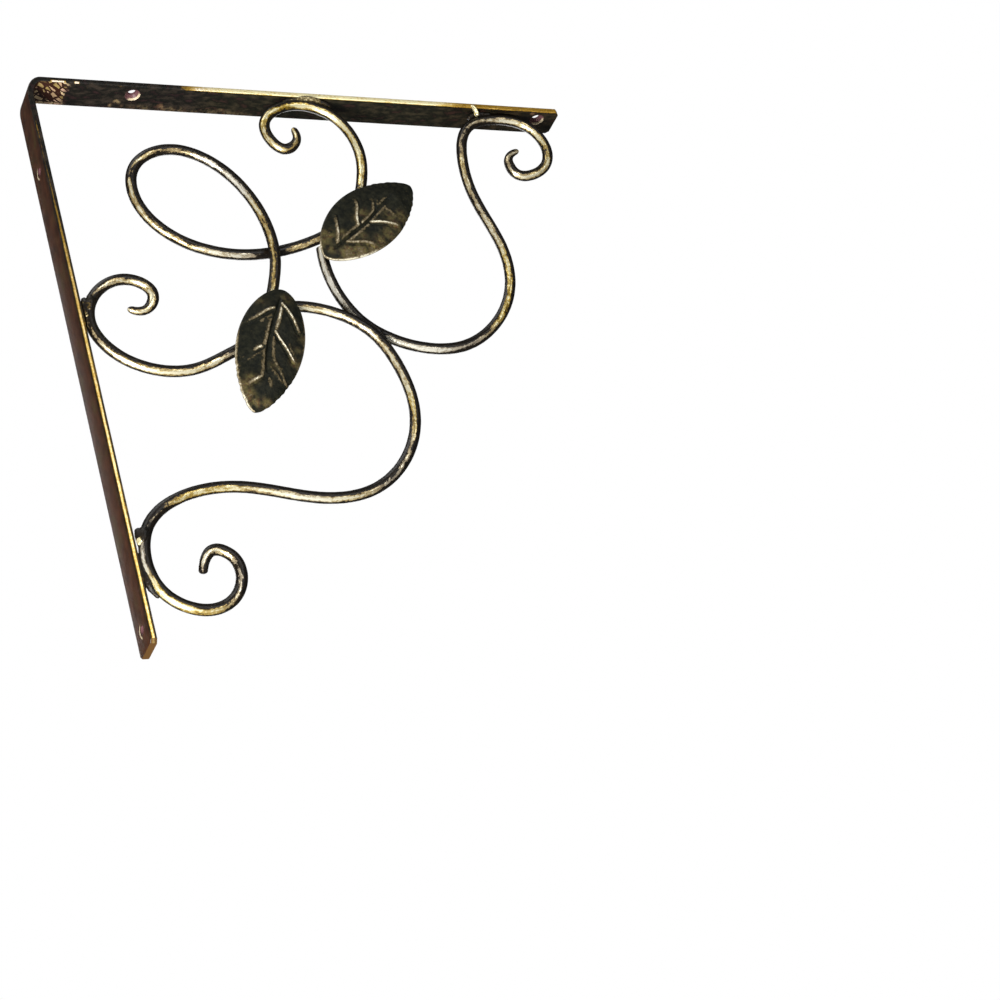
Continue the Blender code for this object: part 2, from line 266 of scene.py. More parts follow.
@dataclass(frozen=True)
class AntiqueGold:
    """Black paint with antique gold brushed over it. Every piece wears a form of it.

    Gold is thickest where the surface faced the brush, and broken by patches, by streaks
    along the piece and by flecks. Its tones run from umber, where it is thin, to cream.
    Faces turned to the brush are where the highlight falls, so the thick cream gold there
    is partly a painted highlight.
    """

    name: str
    black: Ramp = ((0.40, (0.005, 0.004, 0.003)), (0.70, (0.014, 0.010, 0.006)))
    gilding: Ramp = (
        (0.30, (0.050, 0.034, 0.015)), (0.55, (0.34, 0.24, 0.085)),
        # The cream at the top shows on the crowns, where it is partly a painted highlight
        (0.80, (0.70, 0.57, 0.27)), (0.94, (0.96, 0.89, 0.62)),
    )
    patches: Speckle = Speckle((0.07, 0.10, 0.10), 2.0, 1.0)
    streaks: Speckle = Speckle((0.13, 0.9, 0.9), 3.0, 4.0)
    flecks: Speckle = Speckle((0.75, 1.0, 1.0), 3.0, 7.0)
    grain: Speckle = Speckle((2.2, 2.2, 2.2), 3.0, 10.0)
    mottle: Speckle = Speckle((0.5, 0.5, 0.5), 3.0, 13.0)
    # How much each of these adds to the gold
    patch: float = 0.90
    streak: float = 2.40
    fleck: float = 1.60
    # Facing the brush also lays on the painted highlight
    brush_and_highlight: float = 4.2
    # How squarely faced gold begins, and how much narrower faded gold is
    crown: float = 0.945
    narrow: float = 3.2
    # Strength of the fresh gold's colour, and what it loses as it fades
    warm: float = 1.25
    fading: float = 0.85
    shows: Band = (0.20, 0.36)
    shines: Band = (0.30, 0.70)
    metal: float = 0.70
    gloss: float = 0.22
    rough_paint: float = 0.36
    rough_gold: float = 0.32
    rough_grain: float = 0.16
    bump: float = 0.00015
    bump_strength: float = 0.7
    bump_gold: float = 0.7
    bump_grain: float = 0.6

    @functools.cached_property
    def blank(self) -> bpy.types.Material:
        """The finish's own material, with nothing wired in it.

        Returns:
            The material.
        """
        material = bpy.data.materials.new(self.name)
        material.use_nodes = True
        material.node_tree.nodes.clear()
        return material

    @functools.cached_property
    def bench(self) -> Wiring:
        """Wiring of that material."""
        return Wiring(self.blank.node_tree)

    @functools.cached_property
    def skin(self) -> Value:
        """Position on the piece's own surface, in millimetres."""
        return self.bench.attribute("skin", "Vector")

    def brushed(self) -> Value:
        """How squarely the surface faced the brush and the painted highlight's direction, from -1 to 1."""
        return self.bench.attribute("brushed")

    def speckle(self, at: Value, pattern: Speckle) -> Value:
        """Noise from 0 to 1 in one of the finish's patterns."""
        at = self.bench.vector("MULTIPLY", at, pattern.scale)
        return self.bench.noise(at, pattern.seed, pattern.detail)

    def coverage(self) -> Value:
        """How much gold the brush left at a place.

        Returns:
            A number that is about 0 on black paint and 1 on solid gold.
        """
        bench = self.bench
        skin = self.skin
        middle = 0.5 * (self.patch + self.streak + self.fleck)
        lean = bench.maths("SUBTRACT", self.brushed(), self.crown)
        return bench.total(
            (bench.attribute("gilt"), 1.0),
            (lean, self.brush_and_highlight),
            (bench.product(lean, bench.attribute("faded")), self.narrow),
            (self.speckle(skin, self.patches), self.patch),
            (self.speckle(skin, self.streaks), self.streak),
            (self.speckle(skin, self.flecks), self.fleck),
            (1.0, -middle),
        )

    def paint(self) -> Value:
        """Colour of the paint under the gold."""
        return self.bench.ramp(self.speckle(self.skin, self.mottle), self.black)

    def colour(self, cover: Value) -> Value:
        """Colour of the paint and the gold on it.

        Args:
            cover: how much gold there is.

        Returns:
            The colour.
        """
        bench = self.bench
        gilding = bench.ramp(cover, self.gilding)
        warmth = bench.maths("MULTIPLY_ADD", bench.attribute("faded"), -self.fading, self.warm)
        gilding = bench.out("ShaderNodeHueSaturation", 0.5, warmth, 1.0, 1.0, gilding)
        return bench.blend(bench.ease(cover, self.shows), self.paint(), gilding)

    def material(self) -> bpy.types.Material:
        """Build the node material.

        Returns:
            The material.
        """
        bench = self.bench
        raw = self.coverage()
        cover = bench.ease(raw, self.shines)
        grain = self.speckle(self.skin, self.grain)
        bump = bench.node("ShaderNodeBump")
        height = bench.total((raw, self.bump_gold), (grain, self.bump_grain))
        for name, value in (("Strength", self.bump_strength), ("Distance", self.bump), ("Height", height)):
            bench.feed(bump.inputs[name], value)
        shader = bench.node("ShaderNodeBsdfPrincipled")
        looks = {
            "Base Color": self.colour(raw),
            "Metallic": bench.product(cover, self.metal),
            "Roughness": bench.total(
                (cover, self.rough_gold - self.rough_paint),
                (grain, self.rough_grain),
                (1.0, self.rough_paint - self.rough_grain / 2),
            ),
            "Specular IOR Level": self.gloss,
            "Normal": bump.outputs["Normal"],
        }
        for name, value in looks.items():
            bench.feed(shader.inputs[name], value)
        bench.feed(bench.node("ShaderNodeOutputMaterial").inputs["Surface"], shader.outputs["BSDF"])
        return self.blank


@dataclass(frozen=True)
class LeafPaint(AntiqueGold):
    """Olive-black paint on the leaves, with gold rubbed on the ridges and the rim, and painted shade in
    the creases.
    """

    black: Ramp = ((0.42, (0.004, 0.005, 0.003)), (0.64, (0.016, 0.016, 0.009)))
    gilding: Ramp = (
        (0.30, (0.050, 0.040, 0.022)), (0.55, (0.15, 0.125, 0.085)),
        (0.80, (0.36, 0.32, 0.235)), (0.94, (0.82, 0.78, 0.64)),
    )
    rubbed: Ramp = ((0.50, (0.160, 0.130, 0.045)), (0.60, (0.110, 0.052, 0.022)))
    wear: Speckle = Speckle((0.5, 0.5, 0.5), 3.0, 1.0)
    flecks: Speckle = Speckle((0.8, 1.1, 1.0), 4.0, 4.0)
    mottle: Speckle = Speckle((0.34, 0.34, 0.34), 5.0, 13.0)
    rubbing: Speckle = Speckle((0.55, 0.55, 0.55), 3.0, 19.0)
    ridge_wear: Band = (0.05, 0.60)
    rim_wear: Band = (0.15, 0.50)
    haze_wear: Band = (0.30, 0.62)
    ridge: float = 0.86
    rim: float = 0.85
    haze: float = 0.24
    fleck: float = 1.25
    ground: float = -0.55
    rough_paint: float = 0.54
    rough_gold: float = 0.44
    metal: float = 0.35
    gloss: float = 0.12

    def coverage(self) -> Value:
        """Gold on the ridges that stand out, along the rim, and in a mottled haze. The rub value is below
        0 in the creases and grooves, where it takes gold away as painted shade.

        Returns:
            A number that is about 0 on black paint and 1 on solid gold.
        """
        bench = self.bench
        wear = self.speckle(self.skin, self.wear)
        return bench.total(
            (bench.product(bench.attribute("rub"), bench.ease(wear, self.ridge_wear)), self.ridge),
            (bench.product(bench.attribute("rim"), bench.ease(wear, self.rim_wear)), self.rim),
            (bench.attribute("haze"), self.haze),
            (self.speckle(self.skin, self.flecks), self.fleck),
            (1.0, self.ground),
        )

    def paint(self) -> Value:
        """Black that turns from olive to brown in blotches, rubbed to khaki in the haze.

        Returns:
            The colour.
        """
        bench = self.bench
        skin = self.skin
        mottle = self.speckle(skin, self.mottle)
        worn = bench.product(bench.attribute("haze"), bench.ease(mottle, self.haze_wear))
        rubbed = bench.ramp(self.speckle(skin, self.rubbing), self.rubbed)
        return bench.blend(worn, bench.ramp(mottle, self.black), rubbed)


@dataclass(frozen=True)
class WeldPaint(AntiqueGold):
    """Black paint over lumpy weld."""

    gilding: Ramp = (
        (0.30, (0.050, 0.034, 0.015)), (0.55, (0.15, 0.125, 0.07)),
        (0.80, (0.50, 0.43, 0.28)), (0.94, (0.96, 0.89, 0.62)),
    )
    brush_and_highlight: float = 0.7
    crown: float = 0.6
    streak: float = 0.3
    patch: float = 0.4
    rough_paint: float = 0.42

    def brushed(self) -> Value:
        """How squarely the surface faced the brush and the painted highlight's direction, read off its own
        slope.
        """
        normal = self.bench.node("ShaderNodeNewGeometry").outputs["Normal"]
        return self.bench.number("DOT_PRODUCT", normal, tuple(GILT_AND_HIGHLIGHT_FROM.normalized()))


@dataclass(frozen=True)
class BarSpot:
    """A place on the bar. Within is how far in it is from the bar's outer faces."""

    out: Value
    drop: Value
    depth: Value
    within: Value


@dataclass(frozen=True)
class BarPaint(AntiqueGold):
    """Black and brown paint on the bar, with gold brushed along its front edge, laid in bands that are
    partly a painted highlight.

    The screw holes are (centre, way into the bar, radius of the countersink). Distances are
    in millimetres, and a mark comes up from nothing to full between the two ends of a band.
    """

    holes: tuple[tuple[Vector, Vector, float], ...] = ()
    black: Ramp = (
        (0.36, (0.024, 0.013, 0.010)), (0.46, (0.004, 0.005, 0.003)), (0.64, (0.030, 0.024, 0.014)),
    )
    mottle: Speckle = Speckle((0.16, 0.40, 0.16), 5.0, 29.0)
    metal: float = 0.5
    gloss: float = 0.18

    # Gold on the front edge, partly a painted highlight and painted shade
    streaks: Speckle = Speckle((0.09, 1.3, 0.5), 4.0, 1.0)
    flecks: Speckle = Speckle((0.9, 0.9, 0.9), 3.0, 5.0)
    brush_and_highlight: float = 0.88
    streak: float = 0.75
    fleck: float = 0.60
    ground: float = -0.62
    edge_faces: Band = (0.25, 0.55)
    # The shelf arm's line, which thins towards the arm's end
    line_starts: Band = (68.0, 84.0)
    line_thins: Band = (216.0, 196.0)
    line_lip: Band = (3.05, 2.65)
    line_gold: float = 0.56
    line_more: float = 0.46
    # Dashes by the corner, painted highlights along the lower arris: (where one comes up, where it goes,
    # its gold)
    dashes: tuple[tuple[Band, Band, float], ...] = (
        ((11.5, 13.0), (20.0, 17.5), 1.15),
        ((22.4, 23.2), (25.4, 24.6), 1.30),
        ((25.0, 30.0), (80.0, 60.0), 0.10),
    )
    dash_lip: Band = (1.6, 2.1)
    # The wall arm's line, which widens as it goes down, partly a painted highlight: (where gold is added,
    # how much)
    wall_gold: tuple[tuple[Band, float], ...] = (((20.0, 30.0), 0.42), ((60.0, 140.0), 0.52))
    # The dark strip left without gold at the outer arris is painted shade
    wall_lip: Band = (0.45, 1.15)
    wall_widens: Band = (40.0, 105.0)
    wall_width: float = 1.20
    wall_more: float = 0.65
    wall_edge: Band = (0.25, -0.15)
    wall_spreads: Band = (60.0, 80.0)
    wall_spill: float = 0.24
    # The gold's tints: (distance, band, colour) by the corner, at the shelf arm's end and low down
    tints: tuple[tuple[str, Band, Colour], ...] = (
        ("out", (92.0, 76.0), (0.92, 0.86, 1.10)),
        ("out", (196.0, 214.0), (0.88, 0.78, 0.72)),
        ("drop", (80.0, 150.0), (1.00, 0.88, 0.72)),
    )

    # Rubbed marks on the underside: mottling along the far edge, and (out, depth, radius, strength) spots
    rubbing: Speckle = Speckle((0.34, 0.30, 0.30), 4.0, 9.0)
    rub_wear: Band = (0.40, 0.62)
    rub_faces: Band = (0.6, 0.9)
    rub_depth: Band = (2.5, 6.5)
    rub_starts: Band = (40.0, 60.0)
    rub_ends: Band = (118.0, 92.0)
    rub: float = 0.62
    spots: tuple[tuple[float, float, float, float], ...] = (
        (45.0, 2.6, 2.4, 1.3), (42.5, 5.2, 1.6, 0.9), (48.5, 5.0, 1.8, 0.8), (66.0, 4.6, 3.0, 1.1),
        (70.5, 6.5, 3.2, 1.1), (95.0, 5.0, 2.6, 1.1), (251.0, -6.0, 1.6, 1.0),
    )
    spot_core: float = 0.3
    smear: Ramp = ((0.42, (0.085, 0.045, 0.025)), (0.56, (0.17, 0.125, 0.065)))

    # Brown on the outer faces, darker along their long edges
    rusting: Speckle = Speckle((0.30, 0.30, 0.16), 5.0, 13.0)
    tinge: Speckle = Speckle((0.10, 0.16, 0.07), 3.0, 17.0)
    oxide_dark: Colour = (0.022, 0.009, 0.005)
    oxide: Ramp = ((0.38, oxide_dark), (0.62, (0.062, 0.024, 0.012)))
    olive: Colour = (0.046, 0.030, 0.011)
    olive_band: Band = (0.50, 0.68)
    outer_way: Point = (-0.8, 0.0, 0.6)
    outer_faces: Band = (0.50, 0.75)
    outer: float = 0.95
    front_side: Band = (-4.6, -6.6)
    back_side: Band = (5.2, 6.9)
    beside: float = 0.7
    raw_end: Colour = (0.090, 0.045, 0.014)
    end_faces: Band = (0.5, 0.8)
    end_drop: Band = (286.0, 288.0)

    # Crackled flakes in the corner, aslant: along and across them are shares of (out, depth)
    flake: Ramp = ((0.30, (0.25, 0.18, 0.065)), (0.55, (0.48, 0.31, 0.22)), (0.80, (0.66, 0.50, 0.29)))
    rust: Colour = (0.030, 0.008, 0.004)
    rust_share: float = 0.8
    flake_along: tuple[float, float] = (0.15, 0.18)
    flake_across: tuple[float, float] = (-0.32, 0.36)
    flake_down: float = 0.3
    raggedness: Speckle = Speckle((0.8, 0.8, 0.8), 2.0, 21.0)
    ragged: float = 0.30
    flake_rim: Band = (0.27, 0.34)
    flake_missing: Band = (0.20, 0.26)
    pale_depth: Band = (5.0, 6.2)
    pale_rim: Band = (0.12, 0.22)
    pale: float = 0.5
    patch_way: Point = (0.45, 0.0, -0.89)
    patch_faces: Band = (0.45, 0.7)
    patch_edge: Speckle = Speckle((0.3, 0.3, 0.3), 2.0, 25.0)
    patch_shift: float = 6.0
    patch_out: Band = (25.0, 20.0)
    patch_drop: Band = (15.0, 9.0)

    # Bare screw holes, lit on one side of their rims
    bored: Colour = (0.110, 0.050, 0.055)
    crescent: Colour = (0.50, 0.42, 0.28)
    lit_way: Point = (0.66, 0.75, 0.0)
    lit_side: Band = (0.15, 0.60)
    lit_from: Band = (-0.85, -0.55)
    lit_to: Band = (0.15, -0.05)
    hole_edge: Band = (0.12, -0.05)
    hole_depth: Band = (0.04, 0.12)

    @functools.cached_property
    def skin(self) -> Value:
        """Position in the part's frame, in millimetres."""
        metres = self.bench.node("ShaderNodeTexCoord").outputs["Object"]
        return self.bench.vector("MULTIPLY", metres, (1.0 / MM,) * 3)

    @functools.cached_property
    def spot(self) -> BarSpot:
        """Find where a place is on the bar.

        Returns:
            The place's distances.
        """
        bench = self.bench
        parts = bench.node("ShaderNodeSeparateXYZ", self.skin)
        out, depth, height = (parts.outputs[axis] for axis in "XYZ")
        drop = bench.maths("SUBTRACT", WALL_ARM / 2, height)
        return BarSpot(out, drop, depth, bench.maths("MINIMUM", out, drop))

    def facing(self, way: Stop, band: Band) -> Value:
        """How far the surface faces a way, eased from 0 to 1."""
        normal = self.bench.node("ShaderNodeNewGeometry").outputs["Normal"]
        return self.bench.ease(self.bench.number("DOT_PRODUCT", normal, way), band)

    def shelf_line(self) -> Value:
        """Gold in a line along the shelf arm, partly a painted highlight, and painted highlights in dashes
        by the corner.

        Returns:
            How much gold there is.
        """
        bench = self.bench
        spot = self.spot
        gold = bench.total((bench.ease(spot.out, self.line_thins), self.line_more), (1.0, self.line_gold))
        lip = bench.ease(spot.within, self.line_lip)
        line = bench.product(bench.ease(spot.out, self.line_starts), gold, lip)
        dashes = [(bench.between(spot.out, rise, fall), gold) for rise, fall, gold in self.dashes]
        dashed = bench.product(bench.total(*dashes), bench.ease(spot.within, self.dash_lip))
        return bench.largest(line, dashed)

    def wall_line(self) -> Value:
        """Gold in a line down the wall arm, partly a painted highlight, kept off a strip of painted shade
        at the outer arris.

        Returns:
            How much gold there is.
        """
        bench = self.bench
        spot = self.spot
        gold = bench.total(*((bench.ease(spot.drop, band), gold) for band, gold in self.wall_gold))
        widening = bench.ease(spot.drop, self.wall_widens)
        width = bench.maths("MULTIPLY_ADD", widening, self.wall_more, self.wall_width)
        inner = bench.ease(bench.maths("SUBTRACT", spot.within, width), self.wall_edge)
        spill = bench.ease(spot.drop, self.wall_spreads)
        inner = bench.total((inner, 1.0 - self.wall_spill), (spill, self.wall_spill))
        return bench.product(gold, inner, bench.ease(spot.within, self.wall_lip))

    def coverage(self) -> Value:
        """Gold on the front edge, partly a painted highlight.

        Returns:
            A number that is about 0 on black paint and 1 on solid gold.
        """
        bench = self.bench
        spot = self.spot
        run = bench.largest(spot.out, spot.drop)
        flat = bench.out("ShaderNodeCombineXYZ", run, spot.within, spot.depth)
        lines = bench.largest(self.shelf_line(), self.wall_line())
        return bench.total(
            (bench.product(self.facing(tuple(FRONT), self.edge_faces), lines), self.brush_and_highlight),
            (self.speckle(flat, self.streaks), self.streak),
            (self.speckle(self.skin, self.flecks), self.fleck),
            (1.0, self.ground),
        )

    def rubs(self) -> Value:
        """Rubbed marks on the shelf arm's underside.

        Returns:
            How far the place is rubbed.
        """
        bench = self.bench
        spot = self.spot
        flat = bench.out("ShaderNodeCombineXYZ", spot.out, spot.depth, 0.0)
        far = bench.between(spot.out, self.rub_ends, self.rub_starts)
        marks = bench.product(bench.ease(spot.depth, self.rub_depth), far, self.rub)
        for out, depth, size, strength in self.spots:
            away = bench.number("DISTANCE", flat, (out, depth, 0.0))
            mark = bench.product(bench.ease(away, (size, self.spot_core * size)), strength)
            marks = bench.largest(marks, mark)
        worn = bench.ease(self.speckle(self.skin, self.rubbing), self.rub_wear)
        return bench.product(marks, self.facing(Arm.SHELF.value, self.rub_faces), worn)

    def flakes(self) -> tuple[Value, Value, Value]:
        """Crackled flakes of pale paint in the corner.

        Returns:
            How much a flake covers the place, how far it lies in the crackled patch, and the
            number that picks the flake's colour.
        """
        bench = self.bench
        skin = self.skin
        spot = self.spot
        slants = (self.flake_along, self.flake_across)
        aslant = [bench.total((spot.out, out), (spot.depth, depth)) for out, depth in slants]
        at = bench.out("ShaderNodeCombineXYZ", *aslant, bench.product(spot.drop, self.flake_down))
        cell = bench.node("ShaderNodeTexVoronoi", at, 1.0, 0.0, 0.5, 2.0, 1.0)
        pick = bench.node("ShaderNodeSeparateColor", cell.outputs["Color"]).outputs["Red"]
        rim = bench.node("ShaderNodeTexVoronoi", at, 1.0, feature="DISTANCE_TO_EDGE").outputs["Distance"]
        ragged = bench.total((self.speckle(skin, self.raggedness), self.ragged), (rim, 1.0))
        whole = bench.product(bench.ease(ragged, self.flake_rim), bench.ease(pick, self.flake_missing))
        pale = bench.product(bench.ease(spot.depth, self.pale_depth), bench.ease(ragged, self.pale_rim))
        edge = self.speckle(skin, self.patch_edge)
        reach = bench.ease(bench.total((spot.out, 1.0), (edge, self.patch_shift)), self.patch_out)
        facing = self.facing(self.patch_way, self.patch_faces)
        near = bench.product(facing, reach, bench.ease(spot.drop, self.patch_drop))
        covered = bench.product(bench.largest(whole, pale), near)
        return covered, near, bench.total((pick, 1.0), (pale, self.pale))

    def in_holes(self) -> tuple[Value, Value]:
        """Tell the screw holes from the rest of the bar.

        Returns:
            A number that is 1 inside the holes, and one that is 1 on the part of their
            rims that caught the light.
        """
        bench = self.bench
        beyond, lit = [], []
        for centre, inward, radius in self.holes:
            flat = tuple(1.0 - abs(part) for part in inward)
            offset = bench.vector("MULTIPLY", bench.vector("SUBTRACT", self.skin, tuple(centre)), flat)
            past = bench.maths("SUBTRACT", bench.number("LENGTH", offset), radius)
            side = bench.maths("DIVIDE", bench.number("DOT_PRODUCT", offset, self.lit_way), radius)
            ring = bench.between(past, self.lit_from, self.lit_to)
            lit.append(bench.product(ring, bench.ease(side, self.lit_side)))
            beyond.append(past)
        inside = bench.ease(bench.fold("MINIMUM", *beyond), self.hole_edge)
        return bench.product(inside, bench.ease(self.spot.within, self.hole_depth)), bench.largest(*lit)

    def brown(self, mottle: Value) -> Value:
        """Rusty brown with an olive tinge, darker along the bar's long edges.

        Args:
            mottle: noise that turns the brown light or dark.

        Returns:
            The colour.
        """
        bench = self.bench
        olive = bench.ease(self.speckle(self.skin, self.tinge), self.olive_band)
        brown = bench.blend(olive, bench.ramp(mottle, self.oxide), self.olive)
        front, back = (bench.ease(self.spot.depth, band) for band in (self.front_side, self.back_side))
        return bench.blend(bench.product(bench.largest(front, back), self.beside), brown, self.oxide_dark)

    def tinted(self, colour: Value) -> Value:
        """Gold that changes its tint along the bar.

        Args:
            colour: the gold's own colour.

        Returns:
            The tinted colour.
        """
        bench = self.bench
        tint: Value = (1.0, 1.0, 1.0)
        for distance, band, tone in self.tints:
            tint = bench.blend(bench.ease(getattr(self.spot, distance), band), tint, tone)
        return bench.blend(1.0, colour, tint, "MULTIPLY")

    def colour(self, cover: Value) -> Value:
        """Brown on the outer faces, black elsewhere, flakes in the corner and bare holes.

        Args:
            cover: how much gold there is.

        Returns:
            The colour.
        """
        bench = self.bench
        mottle = self.speckle(self.skin, self.rusting)
        outer = self.facing(self.outer_way, self.outer_faces)
        end = self.facing(Arm.SHELF.value, self.end_faces)
        flaked, patch, pick = self.flakes()
        bored, lit = self.in_holes()
        # Each coat lies over the ones before it where its share is 1
        coats = (
            (self.rubs(), bench.ramp(mottle, self.smear)),
            (bench.product(outer, self.outer), self.brown(mottle)),
            (bench.product(end, bench.ease(self.spot.drop, self.end_drop)), self.raw_end),
            (bench.product(patch, self.rust_share), self.rust),
            (flaked, bench.ramp(pick, self.flake)),
            (bored, self.bored),
            (lit, self.crescent),
        )
        painted = self.tinted(super().colour(cover))
        for share, coat in coats:
            painted = bench.blend(share, painted, coat)
        return painted


# Making meshes

class Grower:
    """Grows a mesh from a seed mesh through a Geometry Nodes tree."""

    def __init__(self, name: str) -> None:
        """Start the tree with its geometry sockets."""
        self.name = name
        self.tree = bpy.data.node_groups.new(name, "GeometryNodeTree")
        self.bench = Wiring(self.tree)
        sockets = self.tree.interface
        sockets.new_socket("Geometry", in_out="INPUT", socket_type="NodeSocketGeometry")
        sockets.new_socket("Geometry", in_out="OUTPUT", socket_type="NodeSocketGeometry")
        self.given = self.tree.nodes.new("NodeGroupInput")
        self.values: dict[str, object] = {}

    def input(self, name: str, value: object) -> Socket:
        """Add a named input to the tree.

        Args:
            name: the input's name.
            value: what the modifier sets it to.

        Returns:
            The input, as a socket.
        """
        kinds = {float: "NodeSocketFloat", int: "NodeSocketInt", bpy.types.Material: "NodeSocketMaterial"}
        self.tree.interface.new_socket(name, in_out="INPUT", socket_type=kinds[type(value)])
        self.values[name] = value
        return self.given.outputs[name]

    def store(self, geometry: Value, name: str, value: Value, kind: str) -> Socket:
        """Keep a value on the points of some geometry."""
        node = "GeometryNodeStoreNamedAttribute"
        return self.bench.out(node, geometry, True, name, value, data_type=kind, domain="POINT")

    def read(self, name: str, kind: str = "FLOAT") -> Socket:
        """Read a value that was kept on the points."""
        return self.bench.out("GeometryNodeInputNamedAttribute", name, data_type=kind)

    def rough(self, at: Value, size: Value, pick: Value, detail: float) -> Socket:
        """Add noise from 0 to 1 whose lumps are about `size` millimetres wide."""
        sizes = self.bench.out("ShaderNodeCombineXYZ", size, size, size)
        return self.bench.noise(self.bench.vector("DIVIDE", at, sizes), pick, detail)

    def swell(self, mesh: Value, lift: Value) -> Socket:
        """Move the surface out along its normals.

        Args:
            mesh: the surface.
            lift: how far it moves, in millimetres.

        Returns:
            The moved surface.
        """
        offset = self.bench.vector("SCALE", self.bench.out("GeometryNodeInputNormal"))
        self.bench.feed(offset.node.inputs["Scale"], lift)
        return self.bench.out("GeometryNodeSetPosition", mesh, True, None, offset)

    def finish(self, geometry: Value, material: Value) -> None:
        """End the tree with real geometry that wears its material.

        Args:
            geometry: what the tree has made.
            material: its material.
        """
        smooth = self.bench.out("GeometryNodeSetShadeSmooth", geometry)
        solid = self.bench.out("GeometryNodeRealizeInstances", smooth)
        dressed = self.bench.out("GeometryNodeSetMaterial", solid, True, material)
        ending = self.tree.nodes.new("NodeGroupOutput")
        self.tree.links.new(dressed, ending.inputs["Geometry"])

    def grow(self, seed: bpy.types.Mesh) -> bpy.types.Mesh:
        """Run the tree on a seed mesh.

        Args:
            seed: the mesh that goes in.

        Returns:
            The plain mesh that comes out.
        """
        carrier = bpy.data.objects.new(self.name, seed)
        bpy.context.scene.collection.objects.link(carrier)
        modifier = carrier.modifiers.new(self.name, "NODES")
        modifier.node_group = self.tree
        for item in self.tree.interface.items_tree:
            if item.in_out == "INPUT" and item.name in self.values:
                modifier[item.identifier] = self.values[item.name]
        shapes = bpy.context.evaluated_depsgraph_get()
        mesh = bpy.data.meshes.new_from_object(carrier.evaluated_get(shapes))
        bpy.data.objects.remove(carrier)
        return mesh


def seed_mesh(
    name: str, points: Array, links: list[tuple[int, int]], **values: Array,
) -> bpy.types.Mesh:
    """Make a mesh of points and the links between them.

    Args:
        name: the mesh's name.
        points: positions in millimetres.
        links: pairs of points that are joined.
        **values: numbers or vectors kept on the points.

    Returns:
        The mesh.
    """
    mesh = bpy.data.meshes.new(name)
    mesh.from_pydata([tuple(point) for point in points], links, [])
    for key, value in values.items():
        kind = "FLOAT" if value.ndim == 1 else "FLOAT_VECTOR"
        attribute = mesh.attributes.new(key, kind, "POINT")
        attribute.data.foreach_set("value" if value.ndim == 1 else "vector", value.ravel())
    return mesh


def show(name: str, mesh: bpy.types.Mesh, slot: Slot, *nodes: str) -> bpy.types.Object:
    """Put a finished mesh, drawn in millimetres, into the scene as a piece of the bracket.

    Args:
        name: the piece's name.
        mesh: its mesh.
        slot: the material slot that it stands for; not used.
        *nodes: the CAD nodes that it stands for.

    Returns:
        The piece's object.
    """
    mesh.transform(Matrix.Scale(MM, 4))
    mesh.name = name
    piece = bpy.data.objects.new(name, mesh)
    bpy.context.scene.collection.objects.link(piece)
    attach(piece, ROOT)
    if nodes:
        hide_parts(*nodes)
    LOG.info("%s: %d faces", name, len(mesh.polygons))
    return piece


# Rods

